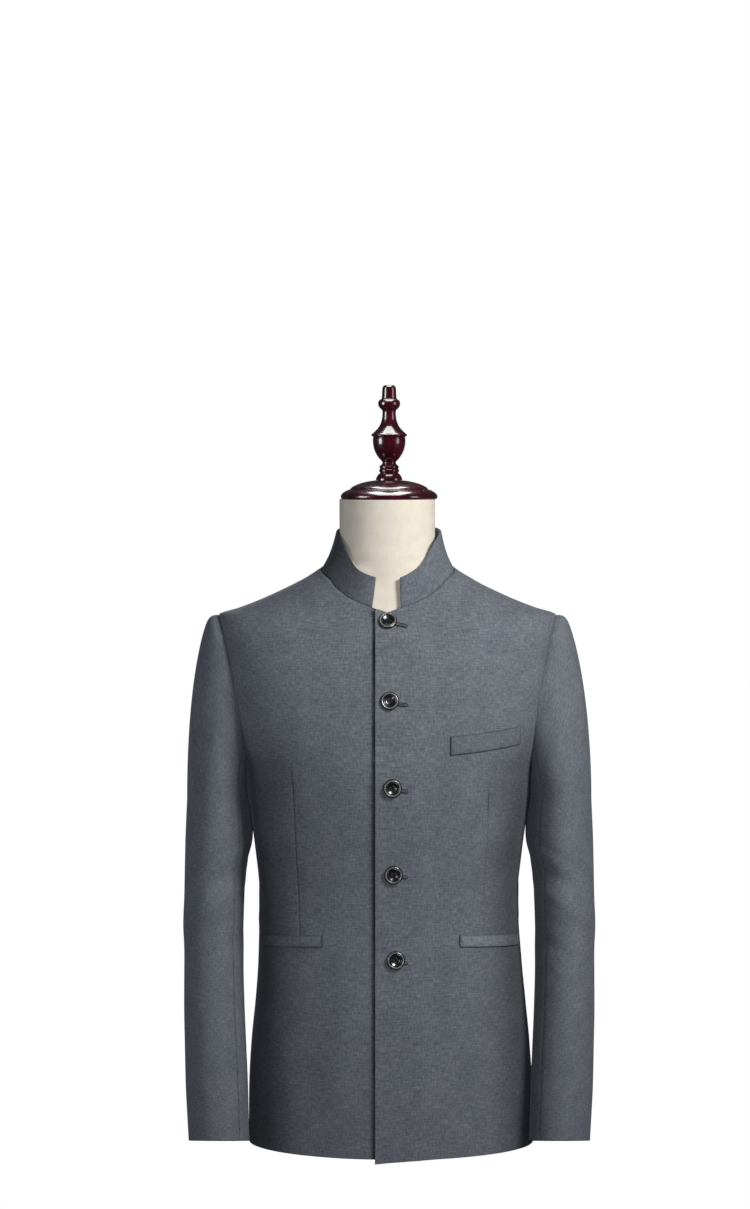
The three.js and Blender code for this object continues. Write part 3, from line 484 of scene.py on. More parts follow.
# Finer creases of each sleeve.
SLEEVE_CREASES = [
    (108, 392, 34, 6, -1.1, 58), (96, 346, 30, 5.5, 0.9, 62), (140, 330, 26, 5, -1.0, 70),
    (70, 300, 38, 7, -0.9, 48), (112, 262, 30, 6, 1.0, 64), (100, 228, 34, 7, -0.8, 56),
    (60, 540, 60, 9, -0.9, 6), (84, 560, 54, 8, 0.8, -5), (20, 420, 90, 12, 0.9, 4),
    (80, 160, 60, 10, 0.7, 10), (50, 110, 70, 11, -0.7, -8), (276, 360, 34, 6, -1.1, -56),
    (300, 312, 32, 6, 1.0, -60), (256, 318, 28, 5, -1.0, -70), (290, 262, 36, 7, -0.8, -52),
    (318, 520, 58, 9, -0.9, -6), (345, 380, 80, 11, -0.8, 3), (310, 150, 62, 10, 0.7, -8),
    (214, 400, 40, 6, -0.9, 40), (200, 340, 34, 6, 0.8, -44),
]

BUTTONS = [(-1.6, 686.9), (0.7, 589.7), (4.2, 481.8), (5.5, 371.7), (8.3, 262.8)]

# Welts: x of both ends, heights of the lower edge there, and how tall the welt is. Its free
# edge stands off the cloth, and the pocket welts lie a little off the middle.
CHEST_WELT = SimpleNamespace(
    start=76.3, end=166, lower_start=521.5, lower_end=532, tall=24, stand=0.8, shift=0
)
POCKET_WELT = SimpleNamespace(
    start=86, end=163.5, lower_start=277, lower_end=268.8, tall=15.8, stand=0.9, shift=2.5
)

# Fronts: the free edge, the collar's end, the drop of the hem's corner, the top corner's radius
FRONTS = {
    1: SimpleNamespace(
        edge=LAP_EDGE, collar_end=COLLAR_END_LEFT, drop=LAP_CORNER_DROP, corner=LAP_CORNER_ROUND
    ),
    -1: SimpleNamespace(edge=UNDER_EDGE, collar_end=COLLAR_END_RIGHT, drop=0, corner=0),
}

# Waist darts: x and z of the top and of the foot.
DARTS = {1: ((127, 490), (120.2, 295)), -1: ((-123, 505), (-113.7, 295))}
DART_DEPTH = {1: (0.25, 0.6), -1: (0.75, 0.2)}  # all along, and what its top has more
DART_DEEP = (52, 16)  # how far below the top it is deeper, and the length of that change
DART_TOP_FADE = 26
DART_FOOT_FADE = (14, 8)  # where it fades below its foot, and the length of that
DART_BELLS = [(-1.0, 0, 0.75), (-0.9, 0, 7), (0.5, 2.4, 2.0)]  # groove, hollow and step
DART_TIP = [(1, -8, 11)]  # reach of the dimple, from the top
DART_DIMPLE = [(0.9, -2.6, 2.4), (-0.7, 1, 1.6)]
DART_SPAN = (0.2, 0.85)  # the shares across a front between which its dart line stays
# Painted shade along the dart's stitched groove: the bell of its dark line, and how dark it is
DART_LINE = [(1, 0, 0.9)]
DART_SHADE = 0.5


def mix(a, b, t):
    return a + (b - a) * t


def smooth_share(t):
    t = np.clip(t, 0, 1)
    return t * t * (3 - 2 * t)


def bells(distance, rows, power=2):
    """The sum of some bell curves, each a height, a place and a half-width."""
    return sum(height * np.exp(-(((distance - at) / half) ** power)) for height, at, half in rows)


def fading(distance, width):
    """Falls off from 1 at a border."""
    return np.exp(-np.maximum(distance, 0) / width)


def signed_power(value, power):
    return np.sign(value) * np.abs(value) ** power


def unit(vectors):
    return vectors / np.maximum(np.linalg.norm(vectors, axis=-1, keepdims=True), 1e-12)


def body_surface(angle, z):
    """A point of the smooth body, by degrees round it: 0 front, 90 the wearer's left."""
    angle, z = np.broadcast_arrays(np.asarray(angle, float), np.asarray(z, float))
    power = 2 / BODY.power(z)
    along = np.cos(np.radians(angle))
    depth = np.where(along > 0, BODY.front(z), BODY.back(z))
    x = BODY.mid(z) + BODY.half(z) * signed_power(np.sin(np.radians(angle)), power)
    return np.stack([x, -depth * signed_power(along, power), z], -1)


def body_normal(angle, z):
    turn, climb = 0.4, 0.8
    around = body_surface(angle + turn, z) - body_surface(angle - turn, z)
    up = body_surface(angle, z + climb) - body_surface(angle, z - climb)
    return unit(np.cross(around, up))


def front_angle(x, z):
    """The angle at which the body's front, at a height, has a given x."""
    share = (x - BODY.mid(z)) / BODY.half(z)
    return np.degrees(np.arcsin(signed_power(share, BODY.power(z) / 2)))


def fold_height(folds, angle, z, half_width):
    """How far a table's folds stand out, at degrees round a body of a given half-width."""
    total = 0
    for fold_angle, fold_z, long, wide, depth, lean in folds:
        turn = (angle - fold_angle + 180) % 360 - 180
        across, rise = turn / 90 * half_width, z - fold_z
        along, aside = math.cos(math.radians(lean)), math.sin(math.radians(lean))
        u = (across * along - rise * aside) / wide
        v = (across * aside + rise * along) / long
        total = total + depth * np.exp(-u * u - v * v)
    return total


def lap_over(side, x):
    """How far a front stands out: the left one lies over the right one."""
    if side < 0:
        return 0 * x
    return LAP * (1 - smooth_share((x - UNDER_EDGE - LAP_MARGIN) / LAP_FADE))


def body_relief(angle, z):
    """How far the cloth's folds and creases stand out of the plain body."""
    return fold_height(BODY_FOLDS + BODY_CREASES, angle, z, BODY.half(z))


def side_shade(angle, z):
    """Painted shade: the cloth's colour is darker at the body's sides, below the armholes."""
    turn = (angle + 180) % 360 - 180
    start = np.where(turn > 0, SIDE_SHADE_START[1], SIDE_SHADE_START[-1])
    rise = smooth_share((np.abs(turn) - start) / SIDE_SHADE_RISE)
    fall = 1 - smooth_share((np.abs(turn) - SIDE_SEAM) / SIDE_SHADE_FALL)
    low = 1 - smooth_share((z - SIDE_SHADE_TOP) / SIDE_SHADE_FADE)
    return 1 - SIDE_SHADE * rise * fall * low


def armhole_place(turn):
    egg = ARMHOLE_EGG * np.sin(np.radians(turn))
    reach = np.sin(np.radians(turn - egg))
    y = -np.where(reach > 0, ARMHOLE_FRONT, ARMHOLE_BACK) * reach
    return y, ARMHOLE_MIDDLE + ARMHOLE_HALF_HEIGHT * np.cos(np.radians(turn))


def armhole_angle(turn):
    """Degrees round the body of a place on the armhole, 0 at the shoulder, 90 at the front."""
    y, z = armhole_place(turn)
    depth = np.where(y < 0, BODY.front(z), BODY.back(z))
    angle = np.degrees(np.arccos((np.abs(y) / depth) ** (BODY.power(z) / 2)))
    return np.where(y < 0, angle, 180 - angle)


def neck_angle(x):
    """Angle at which the front neckline has a given x."""
    angle = 0.0
    for _ in range(12):
        angle = float(front_angle(x, NECKLINE.z(abs(angle))))
    return angle


def pattern_place(angle, z):
    return np.stack([angle / 90 * BODY.half(z), z * np.ones_like(angle)], -1)


def border(points):
    """A border of a flat pattern, as a function of its share from 0 to 1."""
    share = np.linspace(0, 1, len(points))
    return lambda t: np.stack([np.interp(t, share, points[:, k]) for k in (0, 1)], -1)


def pattern_fill(u, v, sides):
    """Places of a flat pattern between its four borders."""
    bottom, top, left, right = sides
    u, v = u[..., None], v[..., None]
    ruled = mix(bottom(u[..., 0]), top(u[..., 0]), v) + mix(left(v[..., 0]), right(v[..., 0]), u)
    low = mix(bottom(0.0), bottom(1.0), u)
    high = mix(top(0.0), top(1.0), u)
    return ruled - mix(low, high, v)


def hem_height(x, drop):
    share = np.maximum(0, 1 - np.abs(x - LAP_EDGE) / LAP_CORNER_REACH)
    return HEM - drop * share * share


def stations(length, lines=()):
    """Distances along each of several rows, crowded at both ends and round each line.

    length has one number for each row, and so has each line."""
    stops = [SEAM + BORDER_STEPS + 0 * length[:, None]]
    marks = [line[:, None] + LINE_STEPS for line in lines]
    end = length[:, None] - SEAM - BORDER_STEPS[::-1]
    for group in [*marks, end]:
        last, first = stops[-1][:, -1], group[:, 0]
        cells = max(1, int(np.max(first - last) / CELL + 0.5))
        share = np.arange(1, cells) / cells
        stops.append(last[:, None] + (first - last)[:, None] * share)
        stops.append(group)
    return np.concatenate(stops, 1)


def row_stations(length):
    return stations(np.array([float(length)]))[0]


def border_distances(across, up, width, height):
    """How far each place lies from the left, the right, the foot and the top of its piece."""
    sides = (across, width - across, up, height - up)
    return np.broadcast_arrays(*(side - SEAM for side in sides))


def nearest(*distances):
    return np.minimum.reduce(distances)


def seam_relief(distance):
    """Cloth dips into its seam and swells a little beside it."""
    return bells(distance, SEAM_SWELL) - SEAM_DIP * fading(distance, SEAM_DIP_WIDTH)


def seam_painted_shade(distance):
    """Painted shade: the cloth's colour is darker just at a seam, standing in for the shade in its
    groove.
    """
    return 1 - SEAM_SHADE * fading(distance, SEAM_SHADE_WIDTH)


def mesh_object(name, points, faces, attributes=None, crease=180):
    """A piece of plain mesh, smooth but for edges sharper than crease degrees."""
    mesh = bpy.data.meshes.new(name)
    mesh.from_pydata((np.asarray(points) * MM).tolist(), [], [list(face) for face in faces])
    for key, values in (attributes or {}).items():
        vector = np.ndim(values) == 2
        made = mesh.attributes.new(key, "FLOAT_VECTOR" if vector else "FLOAT", "POINT")
        made.data.foreach_set("vector" if vector else "value", np.ravel(values).astype(np.float32))
    mesh.polygons.foreach_set("use_smooth", [True] * len(mesh.polygons))
    if crease < 180:
        mesh.set_sharp_from_angle(angle=math.radians(crease))
    mesh.update()
    piece = bpy.data.objects.new(name, mesh)
    bpy.context.scene.collection.objects.link(piece)
    return piece


def grid_ids(rows, columns):
    return np.arange(rows * columns).reshape(rows, columns)


def grid_faces(ids):
    return np.stack([ids[:-1, :-1], ids[:-1, 1:], ids[1:, 1:], ids[1:, :-1]], -1).reshape(-1, 4)


def round_faces(ids):
    """Faces of a grid whose last column meets its first one."""
    return grid_faces(np.concatenate([ids, ids[:, :1]], 1))


def shell(name, outer, inner, cut, tone):
    """A closed wall between two grids that meet along their border."""
    rows, columns = outer.shape[:2]
    outer_ids = grid_ids(rows, columns)
    inner_ids = outer_ids + rows * columns
    for edge in (np.s_[0, :], np.s_[-1, :], np.s_[:, 0], np.s_[:, -1]):
        inner_ids[edge] = outer_ids[edge]
    faces = np.concatenate([grid_faces(outer_ids), grid_faces(inner_ids)[:, ::-1]])
    middle = (rows // 2, columns // 2)
    a, b, c = (outer[middle[0] + i, middle[1] + j] for i, j in ((0, 0), (0, 1), (1, 0)))
    if np.dot(np.cross(b - a, c - a), outer[middle] - inner[middle]) < 0:
        faces = faces[:, ::-1]
    used, faces = np.unique(faces, return_inverse=True)
    points = np.concatenate([outer.reshape(-1, 3), inner.reshape(-1, 3)])[used]
    flat = np.concatenate([cut, np.zeros(cut.shape[:2] + (1,))], -1).reshape(-1, 3)
    # The tone attribute scales the cloth's colour: it holds painted shade and painted light
    attributes = {
        "cut": np.concatenate([flat, flat])[used] * MM,
        "tone": np.concatenate([tone.ravel(), tone.ravel()])[used],
    }
    return mesh_object(name, points, faces.reshape(-1, 4), attributes)


def cloth_wall(name, plain, normal, out, distance, cut, tone, thick=CLOTH):
    """A wall whose outer face stands out from a plain grid, and that rounds off at its border."""
    half = thick / 2
    share = np.clip(1 - distance / half, 0, 1)
    reach = normal * (half * np.sqrt(1 - share * share))[..., None]
    middle = plain + normal * (out - half)[..., None]
    return shell(name, middle + reach, middle - reach, cut, tone)


def body_wall(name, angle, z, *settings):
    """A wall on the body."""
    return cloth_wall(name, body_surface(angle, z), body_normal(angle, z), *settings)


def front_borders(side):
    """Borders of a front's flat pattern, in distances counted towards its own side."""
    front = FRONTS[side]
    t = np.linspace(0, 1, BORDER_SAMPLES)
    start, end = side * neck_angle(front.edge), side * neck_angle(front.collar_end)
    angle = np.interp(t, [0, COLLAR_END_SHARE, NECK_SHARE], [start, end, SHOULDER])
    neck_z = NECKLINE.z(np.abs(angle))
    from_notch = np.abs(body_surface(side * angle, neck_z)[:, 0] - NOTCH_AT)
    neck_z = neck_z - NOTCH_DROP * np.maximum(0, 1 - from_notch / NOTCH_HALF)
    past_neck = (t - NECK_SHARE) / (1 - NECK_SHARE)
    shoulder_z = mix(NECKLINE.z(SHOULDER), armhole_place(0)[1], past_neck)
    top = pattern_place(angle, np.where(t <= NECK_SHARE, neck_z, shoulder_z))
    right = side_border(t)
    heights = mix(hem_height(front.edge, front.drop), top[0, 1], t)
    left = pattern_place(side * front_angle(front.edge, heights), heights)
    across = mix(left[0, 0], right[0, 0], t)
    bottom = np.stack([across, hem_height(side * across, front.drop)], -1)
    return [border(points) for points in (bottom, top, left, right)]


def back_borders():
    """Borders of the back's flat pattern, from the wearer's left to the right."""
    t = np.linspace(0, 1, BORDER_SAMPLES)
    share = np.minimum(t, 1 - t)
    shoulder_z = mix(armhole_place(0)[1], NECKLINE.z(SHOULDER), share / BACK_SHOULDER_SHARE)
    angle = np.interp(share, [BACK_SHOULDER_SHARE, 0.5], [SHOULDER, 180])
    z = np.where(share < BACK_SHOULDER_SHARE, shoulder_z, NECKLINE.z(angle))
    top = pattern_place(180 - angle, z)
    top[:, 0] *= np.where(t > 0.5, -1, 1)
    left = side_border(t, from_back=True)
    right = left * np.array([-1, 1])
    bottom = np.stack([mix(left[0, 0], right[0, 0], t), HEM * np.ones_like(t)], -1)
    return [border(points) for points in (bottom, top, left, right)]


def pattern_size(sides):
    """A pattern's height, the shares of it where its rows lie, and the width of each row."""
    bottom, top, left, right = sides
    height = top(0.5)[1] - bottom(0.5)[1]
    rows = row_stations(height) / height
    return height, rows, np.abs(right(rows)[:, 0] - left(rows)[:, 0])


def side_border(t, from_back=False):
    """The side seam and then the armhole of a front, or of half a back."""
    seam_top = armhole_place(ARMHOLE_SIDE)[1]
    share = np.minimum(t / SIDE_SHARE, 1)
    seam = mix(SIDE_SEAM, armhole_angle(ARMHOLE_SIDE), share), mix(HEM, seam_top, share)
    last = 360 if from_back else 0
    turn = mix(ARMHOLE_SIDE, last, np.clip((t - SIDE_SHARE) / (1 - SIDE_SHARE), 0, 1))
    hole = armhole_angle(turn), armhole_place(turn)[1]
    low = t <= SIDE_SHARE
    angle, z = np.where(low, seam[0], hole[0]), np.where(low, seam[1], hole[1])
    return pattern_place(180 - angle if from_back else angle, z)


def dart_place(side, z):
    """x of a front's dart line at a height, drawn on past both its ends."""
    (top_x, top_z), (foot_x, foot_z) = DARTS[side]
    return mix(foot_x, top_x, (z - foot_z) / (top_z - foot_z))


def dart_share(side, sides, v):
    """The share across the pattern at which each row meets the dart line."""
    low, high = np.zeros_like(v), np.ones_like(v)
    for _ in range(40):
        u = (low + high) / 2
        place = pattern_fill(u, v, sides)
        angle = side * place[:, 0] * 90 / BODY.half(place[:, 1])
        x = body_surface(angle, place[:, 1])[:, 0]
        inside = side * x < side * dart_place(side, place[:, 1])
        low, high = np.where(inside, u, low), np.where(inside, high, u)
    return np.clip(low, *DART_SPAN)


def round_corner(from_left, from_top, radius):
    """Draws the cells near a corner into a round one."""
    a = np.maximum(radius - from_left, 0)
    b = np.maximum(radius - from_top, 0)
    scale = np.maximum(a, b) / np.maximum(np.hypot(a, b), 1e-9)
    near = (a > 0) & (b > 0)
    return (
        np.where(near, radius - a * scale, from_left),
        np.where(near, radius - b * scale, from_top),
    )


def dart_relief(side, x, z):
    """How far a dart stands out of the cloth, and how strong the painted shade along its stitched
    groove is there.
    """
    (_, top_z), (_, foot_z) = DARTS[side]
    away = side * (x - dart_place(side, z))
    above, below = z - top_z, z - foot_z
    fade = smooth_share(-above / DART_TOP_FADE)
    fade = fade * smooth_share((below + DART_FOOT_FADE[0]) / DART_FOOT_FADE[1])
    all_along, at_top = DART_DEPTH[side]
    depth = all_along + at_top * smooth_share((above + DART_DEEP[0]) / DART_DEEP[1])
    relief = bells(away, DART_BELLS) * fade + bells(above, DART_TIP) * bells(away, DART_DIMPLE)
    return relief * depth, depth * fade * bells(away, DART_LINE)


def lap_shade(x):
    """Painted shadow: the under front's colour is darkest right beside the lapping edge, in that
    edge's shadow.
    """
    return 1 + bells(np.maximum(LAP_EDGE - x, 0), LAP_SHADES)


def front_panel(name, side):
    """A front with its dart; the left one has a round corner and a rolled edge."""
    sides = front_borders(side)
    height, rows, width = pattern_size(sides)
    across = stations(width, [dart_share(side, sides, rows) * width])
    up = np.broadcast_to(rows[:, None] * height, across.shape)
    across, from_top = round_corner(across, height - up, FRONTS[side].corner)
    place = pattern_fill(across / width[:, None], (height - from_top) / height, sides)
    z = place[..., 1]
    angle = side * place[..., 0] * 90 / BODY.half(z)
    x = body_surface(angle, z)[..., 0]
    edge, seam, foot, neck = border_distances(across, up, width[:, None], height)
    seam = nearest(seam, neck)
    dart_out, dart_line = dart_relief(side, x, z)
    out = lap_over(side, x) + body_relief(angle, z) + seam_relief(seam) + dart_out
    # Painted shade in the colour: at the seams, at the body's sides and along the dart; the under
    # front also gets the lapping edge's painted shadow
    tone = seam_painted_shade(seam) * side_shade(angle, z) * (1 - DART_SHADE * dart_line)
    if side > 0:
        out = out + bells(edge, EDGE_ROLL)
    else:
        tone = tone * lap_shade(x)
    return body_wall(name, angle, z, out, nearest(edge, foot, seam), place, tone)


def back_panel(name):
    sides = back_borders()
    height, rows, width = pattern_size(sides)
    across = stations(width)
    up = np.broadcast_to(rows[:, None] * height, across.shape)
    place = pattern_fill(across / width[:, None], up / height, sides)
    z = place[..., 1]
    angle = 180 - place[..., 0] * 90 / BODY.half(z)
    left, right, foot, neck = border_distances(across, up, width[:, None], height)
    seam = nearest(left, right, neck)
    out = body_relief(angle, z) + seam_relief(seam)
    # Painted shade in the colour: at the seams and at the body's sides
    tone = seam_painted_shade(seam) * side_shade(angle, z)
    return body_wall(name, angle, z, out, nearest(seam, foot), place, tone)


def sleeve_tube(side, turn, z):
    middle = (SLEEVE.inner(z) + SLEEVE.outer(z)) / 2
    half = (SLEEVE.outer(z) - SLEEVE.inner(z)) / 2
    centre = (SLEEVE.front(z) + SLEEVE.back(z)) / 2
    depth = (SLEEVE.back(z) - SLEEVE.front(z)) / 2
    y = centre - depth * np.sin(np.radians(turn))
    x = side * (middle + half * np.cos(np.radians(turn))) + SLEEVE_SHIFT
    return np.stack(np.broadcast_arrays(x, y, z + SLEEVE.tilt(z) * (centre - y)), -1)


def armhole_point(side, turn):
    return body_surface(side * armhole_angle(turn), armhole_place(turn)[1])


def sleeve_start(side, turn):
    """Where the sleeve starts at the armhole and how it sets off."""
    turn = turn % 360
    seam = armhole_point(side, turn)
    normal = body_normal(side * armhole_angle(turn), armhole_place(turn)[1])
    away = unit(np.cross(normal, armhole_point(side, turn + 1) - armhole_point(side, turn - 1)))
    hole = np.array([side * BODY.half(ARMHOLE_MIDDLE), 0, ARMHOLE_MIDDLE])
    inward = np.sum(away * (hole - seam), -1, keepdims=True)
    away = np.where(inward < 0, -away, away)
    share = np.minimum(turn, 360 - turn) / 180
    under = smooth_share((share - SLEEVE_LIFT_SHARE) / (1 - SLEEVE_LIFT_SHARE))
    lift = np.radians(mix(SLEEVE_LIFT, 180, under))

    def heading(tip, length):
        way = away * np.cos(tip)[..., None] + normal * np.sin(tip)[..., None]
        return way * length[..., None]

    gap = mix(SLEEVE_GAP, UNDERARM_GAP, share * share)
    tuck_from, tuck_fade = SLEEVE_TUCK_FADE
    tuck = SLEEVE_TUCK * (1 - smooth_share((share - tuck_from) / tuck_fade))
    reach = mix(SLEEVE_REACH_TOP, SLEEVE_REACH_UNDER, share**SLEEVE_REACH_FALL)
    tip = np.radians(SLEEVE_LIFT + CROWN_TIP) * np.ones_like(turn)
    crown = CROWN * np.maximum(0, np.cos(np.radians(turn)))
    start = seam + heading(lift / 2, gap) - normal * tuck[..., None]
    return start, heading(lift, reach), heading(tip, crown)


def sleeve_head(side, turn, t):
    """The sleeve's head, from the armhole (t = 0) down to the tube (t = 1)."""
    seam, heading, crown = sleeve_start(side, turn)
    end = sleeve_tube(side, turn, SLEEVE_TOP_ROW)
    fall = np.zeros_like(seam)
    fall[..., 2] = -np.linalg.norm(seam - end, axis=-1)
    t = t[..., None]
    full = t / CROWN_AT
    return hermite(seam, heading, end, fall, t) + crown * full * np.exp(1 - full)


def sleeve_grid(side, turn, down):
    """Plain places of a sleeve, at distances down from the armhole: its head, then its tube."""
    head = sleeve_head(side, turn, np.clip(down / SLEEVE_HEAD, 0, 1))
    z = np.minimum(SLEEVE_TOP_ROW + SLEEVE_HEAD - down, SLEEVE_TOP_ROW)
    return np.where((down < SLEEVE_HEAD)[..., None], head, sleeve_tube(side, turn, z))


def grid_normals(grid, at, away):
    """A grid's normals, on the side that away points to from one of its places."""
    normal = unit(np.cross(np.gradient(grid, axis=1), np.gradient(grid, axis=0)))
    return normal if normal[at] @ away > 0 else -normal


def sleeve_panel(name, side, first, last):
    """One panel of a sleeve, between two seams given in degrees round it."""
    width = (last - first) / 360 * SLEEVE_GIRTH
    length = SLEEVE_HEAD + SLEEVE_TOP_ROW - CUFF
    across, down = np.meshgrid(row_stations(width), row_stations(length))
    turn = first + (last - first) * across / width
    plain = sleeve_grid(side, turn, down)
    axis = sleeve_tube(side, np.array([0.0, 180.0]), np.full(2, float(SLEEVE_MIDDLE))).mean(0)
    row = int(np.argmin(np.abs(plain[:, 0, 2] - axis[2])))
    normal = grid_normals(plain, (row, 0), (plain[row, 0] - axis) * [1, 1, 0])
    left, right, hole, cuff = border_distances(across, down, width, length)
    seam = nearest(left, right)
    folds = fold_height(SLEEVE_FOLDS + SLEEVE_CREASES, turn, plain[..., 2], SLEEVE_HALF_GIRTH)
    out = folds * smooth_share(down / SLEEVE_FOLD_FADE) + seam_relief(seam)
    cut = np.stack([turn / 360 * SLEEVE_GIRTH, -down], -1)
    sewn = nearest(seam, hole)
    return cloth_wall(name, plain, normal, out, nearest(sewn, cuff), cut, seam_painted_shade(sewn))


def collar_edges(angle):
    """Foot and top edge of the collar, how deep it is hollowed, and directions round the neck."""
    z = NECKLINE.z(np.abs(angle))
    out = body_relief(angle, z) + LAY
    foot = body_surface(angle, z) + body_normal(angle, z) * out[:, None]
    polar = np.arctan2(foot[:, 0] - BODY.mid(z), -foot[:, 1])
    share = np.minimum(1, np.abs(polar) / math.radians(COLLAR_TALL_AT))
    tall = mix(COLLAR_TALL_FRONT, COLLAR_TALL_BACK, smooth_share(share))
    tall = tall + bells(np.degrees(polar), COLLAR_DIPS)
    depth = np.where(np.cos(polar) > 0, COLLAR_TOP_FRONT, COLLAR_TOP_BACK)
    head = [COLLAR_TOP_HALF * np.sin(polar), -depth * np.cos(polar), foot[:, 2] + tall]
    hollow = mix(COLLAR_HOLLOW_FRONT, COLLAR_HOLLOW_SIDE, share)
    return foot, np.stack(head, -1), hollow, polar


def collar(name):
    """Its foot stands on the neckline and its top leans in towards the neck."""
    start, end = neck_angle(COLLAR_END_RIGHT) + 360, neck_angle(COLLAR_END_LEFT)
    across = row_stations(COLLAR_LENGTH)
    angle = (mix(start, end, across / COLLAR_LENGTH) + 180) % 360 - 180
    foot, head, hollow, polar = collar_edges(angle)
    inward = np.stack([-np.sin(polar), np.cos(polar), 0 * polar], -1)
    up = row_stations(COLLAR_MEAN_TALL)[:, None]
    t = up / COLLAR_MEAN_TALL
    bend = hollow * (1 - t) * np.sqrt(t)
    plain = mix(foot, head, t[..., None]) + inward * bend[..., None]
    side = len(across) // 4
    normal = grid_normals(plain, (len(up) // 2, side), -inward[side])
    left, right, sewn, top = border_distances(across, up, COLLAR_LENGTH, COLLAR_MEAN_TALL)
    cut = np.stack(np.broadcast_arrays(across, up), -1)
    # Painted shade in the colour: at the foot seam and along one side of the collar
    shade_at = [(COLLAR_SHADE, COLLAR_SHADE_AT, COLLAR_SHADE_HALF)]
    tone = seam_painted_shade(sewn) * (1 - bells(np.degrees(polar), shade_at, power=4))
    distance = nearest(left, right, sewn, top)
    return cloth_wall(name, plain, normal, seam_relief(sewn), distance, cut, tone, COLLAR_CLOTH)


def welt(name, side, size, tone):
    """A welt lies on a front; its free upper edge stands a little off the cloth."""
    width = size.end - size.start
    across, up = row_stations(width), row_stations(size.tall)[:, None]
    t = across / width
    z = mix(size.lower_start, size.lower_end, t) + up
    start, end = (front_angle(side * x + size.shift, z) for x in (size.start, size.end))
    angle = mix(start, end, t)
    x = body_surface(angle, z)[..., 0]
    left, right, foot, top = border_distances(across, up, width, size.tall)
    ends = nearest(left, right)
    sewn = nearest(ends, foot)
    distance = nearest(sewn, top)
    lift = smooth_share(foot / size.tall) * smooth_share(ends / WELT_LIFT_REACH)
    base = lap_over(side, x) + body_relief(angle, z) + WELT_CLOTH + WELT_LAY
    out = base + size.stand * lift + WELT_DIP * seam_relief(sewn)
    # Painted shade in the welt's colour along its edges and at the body's sides
    edge = fading(np.minimum(distance, ends * WELT_END_SHARE), WELT_EDGE_WIDTH)
    tone = tone * (1 - WELT_EDGE_SHADE * edge) * side_shade(angle, z)
    cut = np.stack(np.broadcast_arrays(across, up), -1)
    return body_wall(name, angle, z, out, distance, cut, tone, WELT_CLOTH)


def loft(name, rings, attributes):
    """A closed solid through closed rings of equal size, with flat ends."""
    ids = grid_ids(*rings.shape[:2])
    faces = [*round_faces(ids), ids[0, ::-1], ids[-1]]
    return mesh_object(name, rings.reshape(-1, 3), faces, attributes, crease=50)


def between_rings(rings, steps):
    """Adds rings on a smooth curve between the given ones."""
    before = np.concatenate([rings[:1], rings[:-2]])
    after = np.concatenate([rings[2:], rings[-1:]])
    made = []
    for a, b, p, q in zip(rings[:-1], rings[1:], before, after):
        for t in np.arange(steps) / steps:
            made.append(hermite(a, (b - p) / 2, b, (q - a) / 2, t))
    return np.array([*made, rings[-1]])


def outside_neck(ring):
    """Keeps a ring from going further in than the neck above it."""
    middle = np.array([NECK_SHIFT, 0])
    reach = ring[:, :2] - middle
    scale = np.maximum(1, NECK_FOOT_RADIUS / np.linalg.norm(reach, axis=1, keepdims=True))
    return np.concatenate([middle + reach * scale, ring[:, 2:]], 1)


def form_torso(name):
    """The torso's rings inside the cloth, then the bare neck."""
    angle = np.linspace(0, 360, FORM_SIDES + 1)[:-1]
    turn = np.radians(angle)
    rings = []
    for z in FORM_HEIGHTS:
        normal = body_normal(angle, z)
        if z < FORM_SLOPE_START:
            normal = unit(normal * [1, 1, 0])
        rings.append(outside_neck(body_surface(angle, z) - normal * EASE.gap(z)))
    for radius, z in NECK_RINGS:
        ring = [NECK_SHIFT + radius * np.sin(turn), -radius * np.cos(turn), z + 0 * turn]
        rings.append(np.stack(ring, -1))
    rings = between_rings(np.array(rings), RING_STEPS)
    arc = np.broadcast_to(turn * NECK_RADIUS, rings.shape[:2])
    cut = np.stack([arc, rings[..., 2], 0 * arc], -1).reshape(-1, 3)
    return loft(name, rings, {"cut": cut * MM, "tone": np.ones(len(cut))})


def smooth_run(run, steps=4):
    """A smooth stretch of an outline; one of two points stays straight."""
    points = np.array(run, float)
    if len(points) == 2:
        return points
    return between_rings(points, steps)


def turned_mesh(runs, sides):
    """Points and faces of a solid turned on the Z axis; its outline's runs meet at corners."""
    outline = np.concatenate([smooth_run(run)[:-1] for run in runs] + [[runs[-1][-1]]])
    turn = np.linspace(0, 2 * math.pi, sides + 1)[:-1]
    radius, z = outline[:, :1], outline[:, 1:]
    points = np.stack([radius * np.cos(turn), radius * np.sin(turn), z + 0 * turn], -1)
    ids = grid_ids(points.shape[0], sides)
    ids[0], ids[-1] = ids[0, 0], ids[-1, 0]
    used, faces = np.unique(round_faces(ids), return_inverse=True)
    faces = [list(dict.fromkeys(face)) for face in faces.reshape(-1, 4).tolist()]
    return points.reshape(-1, 3)[used], faces


def turned_wood(name, runs, foot):
    points, faces = turned_mesh(runs, WOOD_SIDES)
    return mesh_object(name, points + [CAP_SHIFT, 0, foot], faces, crease=SHARP)


def on_front(flat):
    """Puts points (x, z, distance off the cloth) on the outer face of the lapping front."""
    x, z, out = flat[..., 0], flat[..., 1], flat[..., 2]
    angle = front_angle(x, z)
    height = lap_over(1, x) + body_relief(angle, z) + out
    return body_surface(angle, z) + body_normal(angle, z) * height[..., None]


